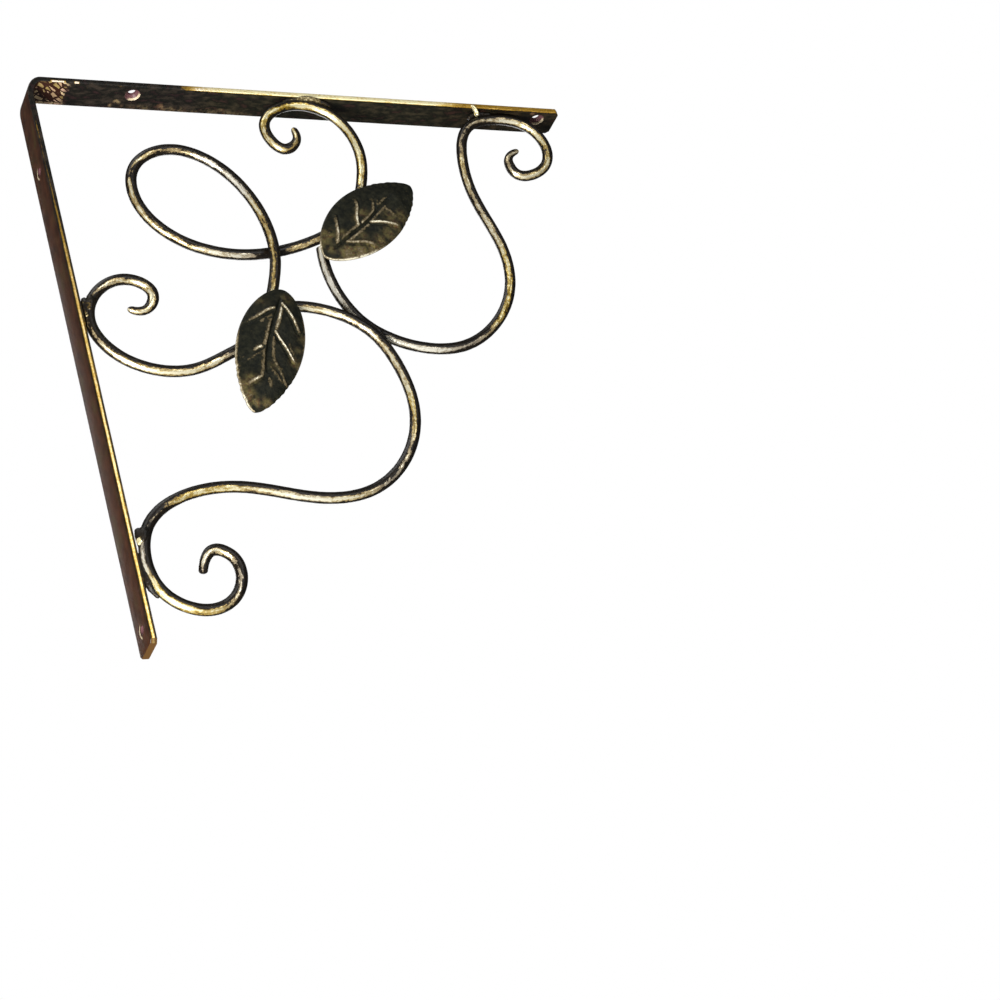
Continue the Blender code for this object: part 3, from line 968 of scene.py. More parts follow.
@dataclass
class ScrollRod:
    """A round rod bent into scrolls, with its ends drawn down to tips.

    A stop of the route is (out, drop), and (out, drop, depth) where the rod leaves its own
    depth. The gilding is (distance along the rod, gold that the brush left there, how far it
    has faded from yellow to grey).
    """

    name: str
    route: tuple[Stop, ...]
    depth: float
    gilding: tuple[tuple[float, float, float], ...]
    tip_at_start: bool
    seed: int
    tip_radius: float
    tip_round: float = 2.2
    tip_steps: tuple[float, ...] = (0.0, 0.01, 0.05, 0.12, 0.22, 0.36, 0.55, 0.76)
    tip_dome: float = 0.97
    radius: float = 2.5
    sides: int = 32
    step: float = 0.45
    taper: float = 14.0
    dent: float = 0.11
    dent_size: float = 4.0
    dent_level: float = 0.55
    dent_layers: float = 3.0
    far_side: float = 0.12

    def path(self) -> Array:
        """Follow the route.

        Returns:
            Centre line of the rod, in millimetres.
        """
        points = [
            place(stop[0], stop[1], self.depth + (stop[2] if len(stop) > 2 else 0.0))
            for stop in self.route
        ]
        return smooth_path(np.array(points), self.step)

    def radii(self, run: Array) -> Array:
        """Draw the rod down to its tips.

        Args:
            run: distances along the rod.

        Returns:
            The radius at each distance.
        """
        left = run[-1] - run
        if self.tip_at_start:
            left = np.minimum(left, run)
        drawn = self.tip_radius + (self.radius - self.tip_radius) * np.minimum(1.0, left / self.taper)
        dome = 1.0 - np.minimum(1.0, left / self.tip_round)
        return drawn * np.sqrt(1.0 - self.tip_dome * dome**2)

    def seed_line(self) -> bpy.types.Mesh:
        """Chain points along the rod, closer together at its tips.

        Returns:
            The chain, which keeps the rod's size, its crown and its gold.
        """
        even = self.path()
        reach = np.concatenate(([0.0], np.cumsum(np.linalg.norm(np.diff(even, axis=0), axis=1))))
        tip = self.tip_round * np.array(self.tip_steps)
        inner = np.arange(self.tip_round, reach[-1] - self.tip_round, self.step)
        run = np.concatenate((tip, inner, reach[-1] - tip[::-1]))
        points = np.stack([np.interp(run, reach, even[:, axis]) for axis in range(3)], axis=1)
        heading = np.gradient(points, run, axis=0)
        heading /= np.linalg.norm(heading, axis=1)[:, None]
        # The crown faces the brush, which is also where the painted highlight goes
        brush_and_highlight = np.array(GILT_AND_HIGHLIGHT_FROM)
        crown = brush_and_highlight - heading * (heading @ brush_and_highlight)[:, None]
        crown /= np.linalg.norm(crown, axis=1)[:, None]
        at, gilt, faded = zip(*self.gilding)
        links = [(i, i + 1) for i in range(len(points) - 1)]
        return seed_mesh(
            self.name, points, links, run=run, thick=self.radii(run), crown=crown,
            gilt=np.interp(run, at, gilt), faded=np.interp(run, at, faded),
        )

    def grower(self, material: bpy.types.Material) -> Grower:
        """Sweep a round section along the line, with its crown to the brush and the painted highlight.

        Args:
            material: the rod's finish.

        Returns:
            The tree that does it.
        """
        grower = Grower(f"{self.name}_forging")
        bench = grower.bench
        sides = grower.input("Sides", self.sides)
        dent = grower.input("Dent Depth", self.dent)
        size = grower.input("Dent Size", self.dent_size)
        pick = grower.input("Seed", self.seed)
        finish = grower.input("Finish", material)
        line = bench.out("GeometryNodeMeshToCurve", grower.given.outputs["Geometry"])
        crown = grower.read("crown", "FLOAT_VECTOR")
        line = bench.out("GeometryNodeSetCurveNormal", line, True, crown, mode="FREE")
        ring = bench.out("GeometryNodeCurvePrimitiveCircle", sides, 1.0)
        ring = grower.store(ring, "round", bench.out("GeometryNodeInputPosition"), "FLOAT_VECTOR")
        tube = bench.out("GeometryNodeCurveToMesh", line, ring, grower.read("thick"), True)
        section = bench.node("ShaderNodeSeparateXYZ", grower.read("round", "FLOAT_VECTOR"))
        squarely = section.outputs["X"]
        behind = bench.maths("MULTIPLY_ADD", squarely, -1.0, -self.far_side)
        tube = grower.store(tube, "brushed", bench.largest(squarely, behind), "FLOAT")
        flat = [bench.product(section.outputs[axis], self.radius) for axis in "XY"]
        skin = bench.out("ShaderNodeCombineXYZ", grower.read("run"), *flat)
        tube = grower.store(tube, "skin", skin, "FLOAT_VECTOR")
        noise = grower.rough(grower.read("skin", "FLOAT_VECTOR"), size, pick, self.dent_layers)
        lift = bench.product(bench.maths("SUBTRACT", noise, self.dent_level), dent, 2.0)
        grower.finish(grower.swell(tube, lift), finish)
        return grower

    def build(self, material: bpy.types.Material) -> None:
        """Make the rod and put it in the scene."""
        mesh = self.grower(material).grow(self.seed_line())
        show(f"{self.name}_forged", mesh, Slot.ROD, self.name)


LOOPED_ROD = ScrollRod(
    name="looped_rod",
    route=(
        (123.0, 20.0), (123.0, 28.0), (115.5, 33.0), (110.5, 28.0),
        (110.0, 17.5), (118.0, 9.0), (132.0, 5.8), (144.5, 11.0),
        (153.0, 31.5), (149.5, 51.0), (139.5, 70.5), (120.0, 84.5, 0.8),
        (97.5, 91.5, 2.7), (77.0, 93.5, 2.2), (55.5, 87.5, 1.4), (43.0, 76.0, 0.6),
        (38.5, 62.5), (42.0, 48.0, -0.7), (61.0, 38.0, -1.3), (77.5, 44.5, -1.8),
        (91.0, 63.0, -2.3), (96.0, 84.5, -2.7), (95.0, 101.0, -2.5), (89.5, 119.0, -1.5),
        (80.0, 138.5, -1.2), (62.0, 151.0, -0.9), (45.0, 158.5, -0.4), (14.5, 151.0),
        (5.8, 134.5), (14.5, 115.5), (29.0, 111.5), (36.0, 117.5),
        (31.5, 127.0), (23.5, 126.5),
    ),
    depth=-5.0,
    gilding=(
        (0, 0.55, 0.2), (11, 0.50, 0.3), (16, 0.30, 0.2), (22, 0.72, 0.3), (40, 0.72, 0.0),
        (52, 0.50, 0.0), (60, 0.95, 0.1), (105, 0.90, 0.1), (115, 0.70, 0.1), (150, 0.55, 0.4),
        (180, 0.40, 0.4), (186, -0.10, 0.6), (196, 0.00, 0.8), (205, 0.70, 0.8), (222, 0.80, 0.6),
        (228, 0.50, 0.4), (245, 0.62, 0.4), (264, 0.50, 0.4), (272, 0.12, 0.4), (290, 0.28, 0.4),
        (308, 0.36, 0.5), (318, 0.66, 0.9), (340, 0.72, 1.0), (350, 0.70, 0.3), (362, 0.50, 0.3),
        (385, 0.45, 0.2), (430, 0.10, 0.5), (440, 0.20, 0.9), (450, 0.78, 0.4), (490, 0.80, 0.3),
        (504, 0.45, 0.6), (510, -0.15, 0.5), (530, -0.05, 0.6), (540, 0.45, 0.5), (550, 0.66, 0.4),
        (566, 0.95, 0.4), (581, 0.75, 0.4),
    ),
    tip_at_start=True,
    seed=3,
    tip_radius=1.5,
)

SHELF_SCROLL = ScrollRod(
    name="shelf_scroll",
    route=(
        (121.0, 89.5), (122.0, 112.0), (131.0, 130.5), (148.5, 141.5), (175.0, 142.5),
        (196.0, 129.0), (209.5, 107.0), (212.0, 86.0), (206.0, 56.0), (206.5, 31.5),
        (215.5, 11.5), (231.5, 5.8), (249.0, 11.0), (253.5, 24.5), (242.5, 39.0),
        (232.5, 39.5), (230.5, 33.0), (238.0, 25.0),
    ),
    depth=-3.5,
    gilding=(
        # The gold at the start and just past the seam is raised to brighten the rod there, partly a
        # painted highlight
        (0, 0.78, 0.9), (22, 0.80, 1.0), (36, 0.66, 0.9), (41, -0.05, 0.9), (49, -0.05, 0.9),
        (56, 0.92, 0.8), (76, 0.85, 0.9), (84, 0.40, 0.9), (98, 0.12, 0.9), (108, 0.32, 0.5),
        (120, 0.58, 0.0), (160, 0.62, 0.1), (168, 0.70, 0.5), (192, 0.60, 0.6), (215, 0.62, 0.3),
        (224, 0.35, 0.6), (236, 0.20, 0.7), (254, 0.30, 0.6), (260, 0.80, 0.6), (284, 0.76, 0.2),
        (290, 0.40, 0.2), (300, 0.76, 0.2), (316, 0.72, 0.4), (324, 0.45, 0.6), (340, 0.60, 0.6),
    ),
    tip_at_start=False,
    seed=11,
    tip_radius=1.3,
)

WALL_SCROLL = ScrollRod(
    name="wall_scroll",
    route=(
        (94.0, 125.0), (115.0, 127.0), (130.5, 136.5), (139.5, 155.0), (141.0, 180.0),
        (128.5, 207.0), (108.5, 221.5), (86.0, 224.0), (55.5, 218.5), (30.0, 221.5),
        (10.5, 235.5), (5.8, 252.5), (11.0, 269.0), (29.0, 276.0), (42.0, 266.5),
        (41.5, 251.0), (37.5, 248.5), (28.0, 259.0),
    ),
    depth=-6.5,
    gilding=(
        (0, 0.80, 0.4), (26, 0.82, 0.5), (34, 0.45, 0.6), (48, 0.62, 0.5), (72, 0.70, 0.5),
        (82, 0.60, 0.1), (98, 0.45, 0.3), (106, 0.28, 0.6), (130, 0.18, 0.9), (140, 0.50, 0.5),
        (152, 0.65, 0.4), (168, 0.82, 0.7), (192, 0.78, 0.4), (204, 0.80, 0.1), (228, 0.75, 0.1),
        (238, -0.12, 0.6), (248, -0.10, 0.8), (256, 0.30, 1.0), (266, 0.45, 0.9), (274, 1.00, 0.0),
        (290, 0.90, 0.1), (302, 0.55, 0.2), (314, 0.15, 0.8), (328, 0.20, 0.8), (336, 0.60, 0.4),
        (350, 0.70, 0.7), (353, 0.10, 0.7), (356, 0.00, 0.7),
    ),
    tip_at_start=False,
    seed=23,
    tip_radius=1.85,
    tip_round=1.0,
)


# Bar

@dataclass(frozen=True)
class ScrewHole:
    """A countersunk hole: how far it is from the corner along its arm, and its depth."""

    arm: Arm
    along: float
    depth: float

    def centre(self) -> Vector:
        """Where its axis meets the bar's outer face."""
        if self.arm is Arm.SHELF:
            return place(self.along, 0.0, self.depth)
        return place(0.0, self.along, self.depth)


@dataclass
class BentBar:
    """The flat bar, bent square, with its long edges softened and four screw holes."""

    name: str = "angle_bar"
    corner_out: float = 8.0
    corner_down: float = 13.0
    corner_steps: int = 24
    step: float = 1.5
    edge: float = 0.55
    edge_steps: int = 4
    end_cut: float = 1.5
    end_steps: tuple[float, ...] = (0.0, 0.15, 0.5, 1.0, 1.5)
    wave: float = 0.10
    wave_size: float = 7.0
    wave_layers: float = 2.0
    hole_radius: float = 1.75
    sink_radius: float = 3.5
    hole_sides: int = 40
    overcut: float = 1.0
    smooth_angle: float = 38.0
    seed: int = 5
    holes: tuple[ScrewHole, ...] = (
        ScrewHole(Arm.SHELF, 51.0, -2.0), ScrewHole(Arm.SHELF, 255.0, -2.0),
        ScrewHole(Arm.WALL, 50.0, -1.0), ScrewHole(Arm.WALL, 281.0, -1.0),
    )

    def centre_line(self) -> tuple[Array, Array]:
        """Middle of the bar from the shelf arm's end to the wall arm's.

        Returns:
            The positions, and how much of the full width the bar has at each.
        """
        middle = BAR_THICK / 2
        ends = np.array(self.end_steps)
        run = np.arange(self.end_cut + self.step, SHELF_ARM - self.corner_out, self.step)
        shelf = [(SHELF_ARM - at, middle) for at in (*ends, *run)]
        across, down = self.corner_out - middle, self.corner_down - middle
        turns = np.linspace(0.0, math.pi / 2, self.corner_steps + 1)
        corner = [
            (self.corner_out - across * math.sin(turn), self.corner_down - down * math.cos(turn))
            for turn in turns
        ]
        run = np.arange(self.end_cut + self.step, WALL_ARM - self.corner_down, self.step)
        wall = [(middle, WALL_ARM - at) for at in (*ends, *run)][::-1]
        points = np.array([place(*point) for point in shelf + corner + wall])
        cut = 1.0 - (1.0 - np.clip(ends / self.end_cut, 0.0, 1.0)) * self.end_cut / (BAR_WIDTH / 2)
        width = np.ones(len(points))
        width[:len(cut)] = cut
        width[-len(cut):] = cut[::-1]
        return points, width

    def seed_line(self) -> bpy.types.Mesh:
        """Chain points along the bar, with a loose point at each screw hole.

        Returns:
            The chain, which keeps the bar's width and the way into each hole.
        """
        line, width = self.centre_line()
        centres = np.array([hole.centre() for hole in self.holes])
        points = np.concatenate((line, centres))
        links = [(i, i + 1) for i in range(len(line) - 1)]
        inward = np.array([(0.0, 0.0, 0.0)] * len(line) + [hole.arm.value for hole in self.holes])
        drilled = np.array([0.0] * len(line) + [1.0] * len(centres))
        front = np.array([tuple(FRONT)] * len(points))
        width = np.concatenate((width, np.ones(len(centres))))
        return seed_mesh(
            self.name, points, links, inward=inward, drilled=drilled, front=front, narrow=width,
        )

    def cutter(self, grower: Grower) -> Socket:
        """Shape one hole: a drilled bore that opens into a countersink.

        Args:
            grower: the tree that it goes into.

        Returns:
            The hole's shape.
        """
        bench = grower.bench
        sides = grower.input("Hole Sides", self.hole_sides)
        bore = grower.input("Bore Radius", self.hole_radius)
        sink = grower.input("Sink Radius", self.sink_radius)
        tall = BAR_THICK + 2.0 * self.overcut
        cylinder = bench.out("GeometryNodeMeshCylinder", sides, 1, 1, bore, tall)
        cylinder = bench.out("GeometryNodeTransform", cylinder, (0.0, 0.0, BAR_THICK / 2))
        deep = bench.maths("SUBTRACT", sink, bore)
        widest = bench.maths("ADD", sink, self.overcut)
        height = bench.maths("ADD", deep, self.overcut)
        cone = bench.out("GeometryNodeMeshCone", sides, 1, 1, widest, bore, height)
        low = bench.out("ShaderNodeCombineXYZ", 0.0, 0.0, bench.maths("SUBTRACT", BAR_THICK, deep))
        cone = bench.out("GeometryNodeTransform", cone, low)
        join = bench.node("GeometryNodeJoinGeometry")
        for shape in (cylinder, cone):
            bench.tree.links.new(shape, join.inputs["Geometry"])
        return join.outputs["Geometry"]

    def grower(self, material: bpy.types.Material) -> Grower:
        """Sweep the bar's section, soften it and cut the holes.

        Args:
            material: the bar's finish.

        Returns:
            The tree that does it.
        """
        grower = Grower("bar_and_holes")
        bench = grower.bench
        wave = grower.input("Wave Depth", self.wave)
        size = grower.input("Wave Size", self.wave_size)
        edge = grower.input("Edge Radius", self.edge)
        pick = grower.input("Seed", self.seed)
        finish = grower.input("Finish", material)
        given = grower.given.outputs["Geometry"]
        line = bench.out("GeometryNodeMeshToCurve", given)
        front = grower.read("front", "FLOAT_VECTOR")
        line = bench.out("GeometryNodeSetCurveNormal", line, True, front, mode="FREE")
        section = bench.out("GeometryNodeCurvePrimitiveQuadrilateral", BAR_WIDTH, BAR_THICK)
        section = bench.out("GeometryNodeFilletCurve", section, self.edge_steps, edge, True, mode="POLY")
        bar = bench.out("GeometryNodeCurveToMesh", line, section, 1.0, True)
        where = bench.node("ShaderNodeSeparateXYZ", bench.out("GeometryNodeInputPosition"))
        thinner = bench.maths("SUBTRACT", grower.read("narrow"), 1.0)
        shift = bench.out("ShaderNodeCombineXYZ", 0.0, bench.product(where.outputs["Y"], thinner), 0.0)
        bar = bench.out("GeometryNodeSetPosition", bar, True, None, shift)
        noise = grower.rough(bench.out("GeometryNodeInputPosition"), size, pick, self.wave_layers)
        bar = grower.swell(bar, bench.product(bench.maths("SUBTRACT", noise, 1.0), wave))
        spots = bench.out("GeometryNodeMeshToPoints", given, grower.read("drilled"))
        inward = grower.read("inward", "FLOAT_VECTOR")
        turn = bench.out("FunctionNodeAlignRotationToVector", None, 1.0, inward, axis="Z")
        shape = self.cutter(grower)
        cutters = bench.out("GeometryNodeInstanceOnPoints", spots, True, shape, False, 0, turn)
        cutters = bench.out("GeometryNodeRealizeInstances", cutters)
        cut = {"operation": "DIFFERENCE", "solver": "EXACT"}
        grower.finish(bench.out("GeometryNodeMeshBoolean", bar, cutters, True, **cut), finish)
        return grower

    def finish(self) -> bpy.types.Material:
        """The bar's paint, which leaves the screw holes bare."""
        holes = tuple((hole.centre(), Vector(hole.arm.value), self.sink_radius) for hole in self.holes)
        return BarPaint("blackened_bar", holes=holes).material()

    def build(self) -> None:
        """Make the bar and put it in the scene."""
        mesh = self.grower(self.finish()).grow(self.seed_line())
        mesh.set_sharp_from_angle(angle=math.radians(self.smooth_angle))
        show("bent_bar", mesh, Slot.BAR, self.name)


# Leaves

@dataclass(frozen=True)
class Line:
    """A line pressed into a leaf, as (along, across, gold that it holds) points.

    Its lift is how far it stands out, or lies in where that is below 0. A shadow of 1 puts
    a crease beside it on its left, and -1 on its right. The crease, and a line that lies in,
    are also darkened with painted shade.
    """

    points: tuple[tuple[float, float, float], ...]
    shadow: int = 0
    lift: float = 0.42
    width: float = 0.82
    crease: float = 0.40
    crease_place: float = 1.30
    crease_width: float = 0.55
    crease_reach: float = 2.0
    crease_end: float = 0.5
    crease_shade: float = 0.8
    groove_shade: float = 1.2
    faintest: float = 0.35

    def nearest(self, along: Array, across: Array) -> tuple[Array, Array, Array]:
        """Where the line passes closest to each place.

        Args:
            along: places' distances from the leaf's foot.
            across: their distances from its axis.

        Returns:
            The distance to the line, the side it is on and the gold there.
        """
        line = np.array(self.points)
        if len(line) > 2:
            line = smooth_path(line, 1.0)
        away, side, gold = np.full(along.shape, np.inf), np.zeros(along.shape), np.zeros(along.shape)
        for start, end in zip(line, line[1:]):
            run, rise = end[:2] - start[:2]
            share = ((along - start[0]) * run + (across - start[1]) * rise) / (run * run + rise * rise)
            share = np.clip(share, 0.0, 1.0)
            over, up = along - start[0] - share * run, across - start[1] - share * rise
            reach = np.hypot(over, up)
            closer = reach < away
            away = np.where(closer, reach, away)
            side = np.where(closer, np.sign(run * up - rise * over), side)
            gold = np.where(closer, start[2] + (end[2] - start[2]) * share, gold)
        return away, side, gold

    def press(self, along: Array, across: Array) -> tuple[Array, Array]:
        """Press the line into the leaf.

        Args:
            along: places' distances from the leaf's foot.
            across: their distances from its axis.

        Returns:
            The height that the line gives each place, and how far gold is rubbed on there, which goes
            below 0 with painted shade in the crease and in a line that lies in.
        """
        away, side, gold = self.nearest(along, across)
        crest = np.exp(-((away / self.width) ** 2))
        strength = self.faintest + (1.0 - self.faintest) * np.minimum(gold, 1.0)
        beside = np.exp(-(((away * side * self.shadow - self.crease_place) / self.crease_width) ** 2))
        beyond = np.maximum(away - self.crease_reach, 0.0) / self.crease_end
        beside *= abs(self.shadow) * np.exp(-(beyond**2))
        # A line that lies in is darkened along its groove: painted shade
        if self.lift < 0.0:
            return self.lift * crest * gold, -self.groove_shade * crest * gold
        # The crease beside a ridge takes gold away: painted shade
        rub = gold * crest - self.crease_shade * strength * beside
        return strength * (self.lift * crest - self.crease * beside), rub


@dataclass
class PressedLeaf:
    """A leaf pressed from sheet: a domed blade with a grooved midrib and raised veins.

    The left half lies on the positive side of the axis. Each half is (widest half width,
    power that moves the widest place along). Rim gold is (along, gold) for each half, and
    a haze is (along, across, reach, gold). The nibbles are waves of (share, pitch).
    """

    name: str
    foot: tuple[float, float]
    tip: tuple[float, float]
    rim_depth: float
    left: tuple[float, float]
    right: tuple[float, float]
    lines: tuple[Line, ...]
    left_rim: tuple[tuple[float, float], ...]
    right_rim: tuple[tuple[float, float], ...]
    hazes: tuple[tuple[float, float, float, float], ...]
    shift: float
    length: float = 70.0
    sheet: float = 1.2
    crown: float = 2.2
    crown_run: float = 0.2
    fullness: float = 0.6
    nibble: float = 0.22
    nibble_from: float = 0.62
    nibble_offset: float = 3.0
    nibble_fine: tuple[float, float] = (0.6, 1.9)
    nibble_coarse: tuple[float, float] = (0.4, 0.83)
    rim_width: float = 0.75
    rows: int = 280
    columns: int = 110
    bunched: float = 0.4
    smooth_angle: float = 60.0
    uneven: float = 0.18
    uneven_along: float = 0.45
    uneven_across: float = 0.5
    plain_edge: float = 0.12
    rim_round: float = 0.7
    rim_thick: float = 0.30
    back_gold: float = 0.5
    sides_apart: float = 6.0
    weld_below: float = 1e-4

    def half_width(self, share: Array, side: Array) -> Array:
        """Shape the blade's outline, nibbled towards its tip.

        Args:
            share: shares of the length, from the foot.
            side: shares of the half width, from right to left.

        Returns:
            Half the blade's width there.
        """
        widest = np.where(side > 0.0, self.left[0], self.right[0])
        belly = np.where(side > 0.0, self.left[1], self.right[1])
        swell = np.sin(math.pi * np.clip(share, 0.0, 1.0) ** belly)
        run = share * self.length + side * self.nibble_offset
        fine = self.nibble_fine[0] * np.sin(run * self.nibble_fine[1] + self.shift)
        coarse = self.nibble_coarse[0] * np.sin(run * self.nibble_coarse[1])
        ends = smooth_step((share - self.nibble_from) / 0.1) * smooth_step((1.0 - share) / 0.08)
        ragged = self.nibble * (1.0 + fine + coarse) * ends
        return np.maximum(widest * np.clip(swell, 0.0, 1.0) ** self.fullness - ragged, 0.0)

    def grid(self) -> tuple[Array, Array, Array]:
        """Places on the blade, somewhat closer together at its rim and ends.

        Returns:
            The share of the length, the share of the half width and the half width.
        """
        even = np.linspace(0.0, 1.0, self.rows + 1)
        share = (1.0 - self.bunched) * even + self.bunched * (0.5 - 0.5 * np.cos(math.pi * even))
        even = np.linspace(-1.0, 1.0, self.columns + 1)
        side = (1.0 - self.bunched) * even + self.bunched * np.sin(math.pi / 2 * even)
        share, side = np.meshgrid(share, side, indexing="ij")
        return share, side, self.half_width(share, side)

    def relief(self, share: Array, side: Array, across: Array) -> tuple[Array, Array]:
        """Dome the blade and press its lines.

        Args:
            share: shares of the length, from the foot.
            side: shares of the half width, from right to left.
            across: distances from the axis.

        Returns:
            Height of the blade's middle over its rim, and how far gold is rubbed on, less painted shade in
            the creases and grooves.
        """
        along = share * self.length
        fade = np.minimum(1.0, np.minimum(share, 1.0 - share) / self.crown_run)
        dome = self.crown * fade * (1.0 - side**2)
        swelling = self.uneven * np.sin(along * self.uneven_along + self.shift)
        swelling *= np.sin(across * self.uneven_across + self.shift * 2.0)
        raised, sunk = np.zeros_like(share), np.zeros_like(share)
        rub, shade = np.zeros_like(share), np.zeros_like(share)
        for line in self.lines:
            height, gold = line.press(along, across)
            raised, sunk = np.maximum(raised, height), np.minimum(sunk, height)
            rub, shade = np.maximum(rub, gold), np.minimum(shade, gold)
        blade = smooth_step((1.0 - np.abs(side)) / self.plain_edge)
        height = dome + swelling * fade * (1.0 - side**2) + (raised + sunk) * blade
        return height, rub + shade

    def marks(self, along: Array, across: Array, half: Array) -> tuple[Array, Array]:
        """Rub gold on the rim and over the blade.

        Args:
            along: distances from the foot.
            across: distances from the axis.
            half: half the blade's width there.

        Returns:
            How far gold is rubbed on along the rim, and in a haze.
        """
        rims = [np.interp(along, *zip(*rim)) for rim in (self.left_rim, self.right_rim)]
        rim = np.where(across > 0.0, *rims) * np.exp(-(((half - np.abs(across)) / self.rim_width) ** 2))
        haze = np.zeros_like(along)
        for spot in self.hazes:
            away = np.hypot(along - spot[0], across - spot[1]) / spot[2]
            haze = np.maximum(haze, spot[3] * np.exp(-(away**2)))
        return rim, haze

    def mesh(self) -> bpy.types.Mesh:
        """Press the blade, front and back, with a rounded rim.

        Returns:
            The closed mesh, which keeps its gold and the painted shade of its creases.
        """
        share, side, half = self.grid()
        across, along = side * half, share * self.length
        height, rub = self.relief(share, side, across)
        rim, haze = self.marks(along, across, half)
        start = np.array(self.foot)
        axis = (np.array(self.tip) - start) / self.length
        out = start[0] + axis[0] * along + axis[1] * across
        drop = start[1] + axis[1] * along - axis[0] * across
        rounding = np.maximum(np.minimum(half, self.rim_round), 1e-6)
        inside = np.clip((half - np.abs(across)) / rounding, 0.0, 1.0)
        swell = np.sqrt(1.0 - (1.0 - inside) ** 2)
        thick = self.sheet * (self.rim_thick + (1.0 - self.rim_thick) * swell)
        middle = self.rim_depth - self.sheet / 2 - height
        build = bmesh.new()
        skins = build.verts.layers.float_vector.new("skin")
        kept = {name: build.verts.layers.float.new(name) for name in ("rub", "rim", "haze")}
        faces: dict[float, list[list[bmesh.types.BMVert]]] = {}
        for way in (-1.0, 1.0):
            shown = {"rub": rub, "rim": rim, "haze": haze} if way < 0.0 else {"rim": self.back_gold * rim}
            faces[way] = []
            for i in range(self.rows + 1):
                row = []
                for j in range(self.columns + 1):
                    depth = middle[i, j] + way * thick[i, j] / 2
                    vert = build.verts.new(place(out[i, j], drop[i, j], depth))
                    vert[skins] = Vector((along[i, j], across[i, j], way * self.sides_apart))
                    for key, value in shown.items():
                        vert[kept[key]] = value[i, j]
                    row.append(vert)
                faces[way].append(row)
            for low, high in zip(faces[way], faces[way][1:]):
                for j in range(self.columns):
                    build.faces.new((low[j], low[j + 1], high[j + 1], high[j]))
        front, back = faces[-1.0], faces[1.0]
        for j in (0, self.columns):
            for i in range(self.rows):
                build.faces.new((front[i][j], front[i + 1][j], back[i + 1][j], back[i][j]))
        bmesh.ops.remove_doubles(build, verts=build.verts, dist=self.weld_below)
        bmesh.ops.recalc_face_normals(build, faces=build.faces)
        mesh = bpy.data.meshes.new(self.name)
        build.to_mesh(mesh)
        build.free()
        mesh.shade_smooth()
        mesh.set_sharp_from_angle(angle=math.radians(self.smooth_angle))
        return mesh

    def build(self, material: bpy.types.Material) -> None:
        """Make the leaf and put it in the scene."""
        mesh = self.mesh()
        mesh.materials.append(material)
        show(f"{self.name}_pressed", mesh, Slot.LEAF, self.name)


UPPER_LEAF = PressedLeaf(
    name="upper_leaf",
    foot=(118.8, 98.1),
    tip=(171.3, 55.0),
    rim_depth=-7.9,
    left=(16.7, 1.0),
    right=(14.7, 0.95),
    shift=0.4,
    lines=(
        Line(((6.0, 0.0, 0.5), (10.0, -0.4, 1.0), (18.0, -0.6, 1.0), (30.0, -0.7, 1.0),
              (41.0, 0.5, 1.0), (52.0, 1.0, 0.4)), lift=-0.75, width=0.65),
        Line(((10.8, 0.9, 0.6), (16.0, 0.7, 0.5), (22.3, 0.9, 0.6), (26.4, 0.8, 0.8),
              (34.6, 0.6, 0.75), (39.9, 1.6, 0.6))),
        Line(((12.5, -1.7, 0.4), (16.0, -2.1, 0.65), (24.0, -2.1, 0.6), (31.0, -2.2, 0.7))),
        Line(((34.0, -1.7, 0.6), (40.0, -0.9, 0.5), (46.5, -0.4, 0.5))),
        Line(((10.0, 0.9, 0.9), (17.8, 6.9, 0.8), (22.6, 11.6, 0.3)), shadow=-1),
        Line(((26.4, 1.0, 1.1), (30.8, 5.0, 1.0), (35.7, 8.3, 0.8), (38.6, 11.5, 0.3)), shadow=-1),
        Line(((39.9, 1.6, 0.6), (42.1, 3.5, 0.5), (45.4, 6.1, 0.3)), shadow=-1, lift=0.3),
        Line(((44.0, 2.6, 0.55), (47.1, 5.3, 0.25)), lift=0.3),
        Line(((44.7, 1.8, 0.4), (49.1, 2.6, 0.5), (51.7, 2.6, 0.3)), lift=0.3),
        Line(((13.7, -1.9, 0.9), (18.7, -5.4, 0.8), (23.0, -8.7, 0.6), (24.8, -11.4, 0.3)), shadow=-1),
        Line(((32.9, -1.9, 1.1), (39.9, -7.1, 1.1), (43.6, -10.8, 0.6)), shadow=-1),
        Line(((45.7, -1.0, 0.5), (46.4, -3.2, 0.4), (46.8, -7.4, 0.3)), lift=0.3),
    ),
    left_rim=((0.0, 0.9), (3.5, 0.9), (7.0, 0.35), (16.0, 0.12), (70.0, 0.0)),
    right_rim=((0.0, 0.9), (6.0, 1.1), (17.0, 1.1), (23.0, 0.7), (30.0, 0.25), (50.0, 0.3), (70.0, 0.1)),
    hazes=(
        (5.5, 6.0, 3.0, 0.7), (10.0, 7.0, 3.2, 0.75), (9.7, -6.0, 3.0, 1.4), (15.5, -9.2, 3.2, 1.5),
        (22.5, -11.3, 2.8, 1.4), (29.0, -11.5, 2.6, 0.9), (36.0, -11.0, 3.0, 0.7), (42.0, -10.5, 3.0, 0.7),
        (49.0, -8.5, 3.0, 0.6), (44.0, -5.5, 3.2, 0.5), (34.5, 4.0, 2.6, 0.5), (29.0, 4.0, 2.0, 0.5),
        (16.0, 2.6, 2.2, 0.6), (23.0, -4.6, 2.4, 0.35), (5.0, 0.5, 2.4, 0.5),
    ),
)

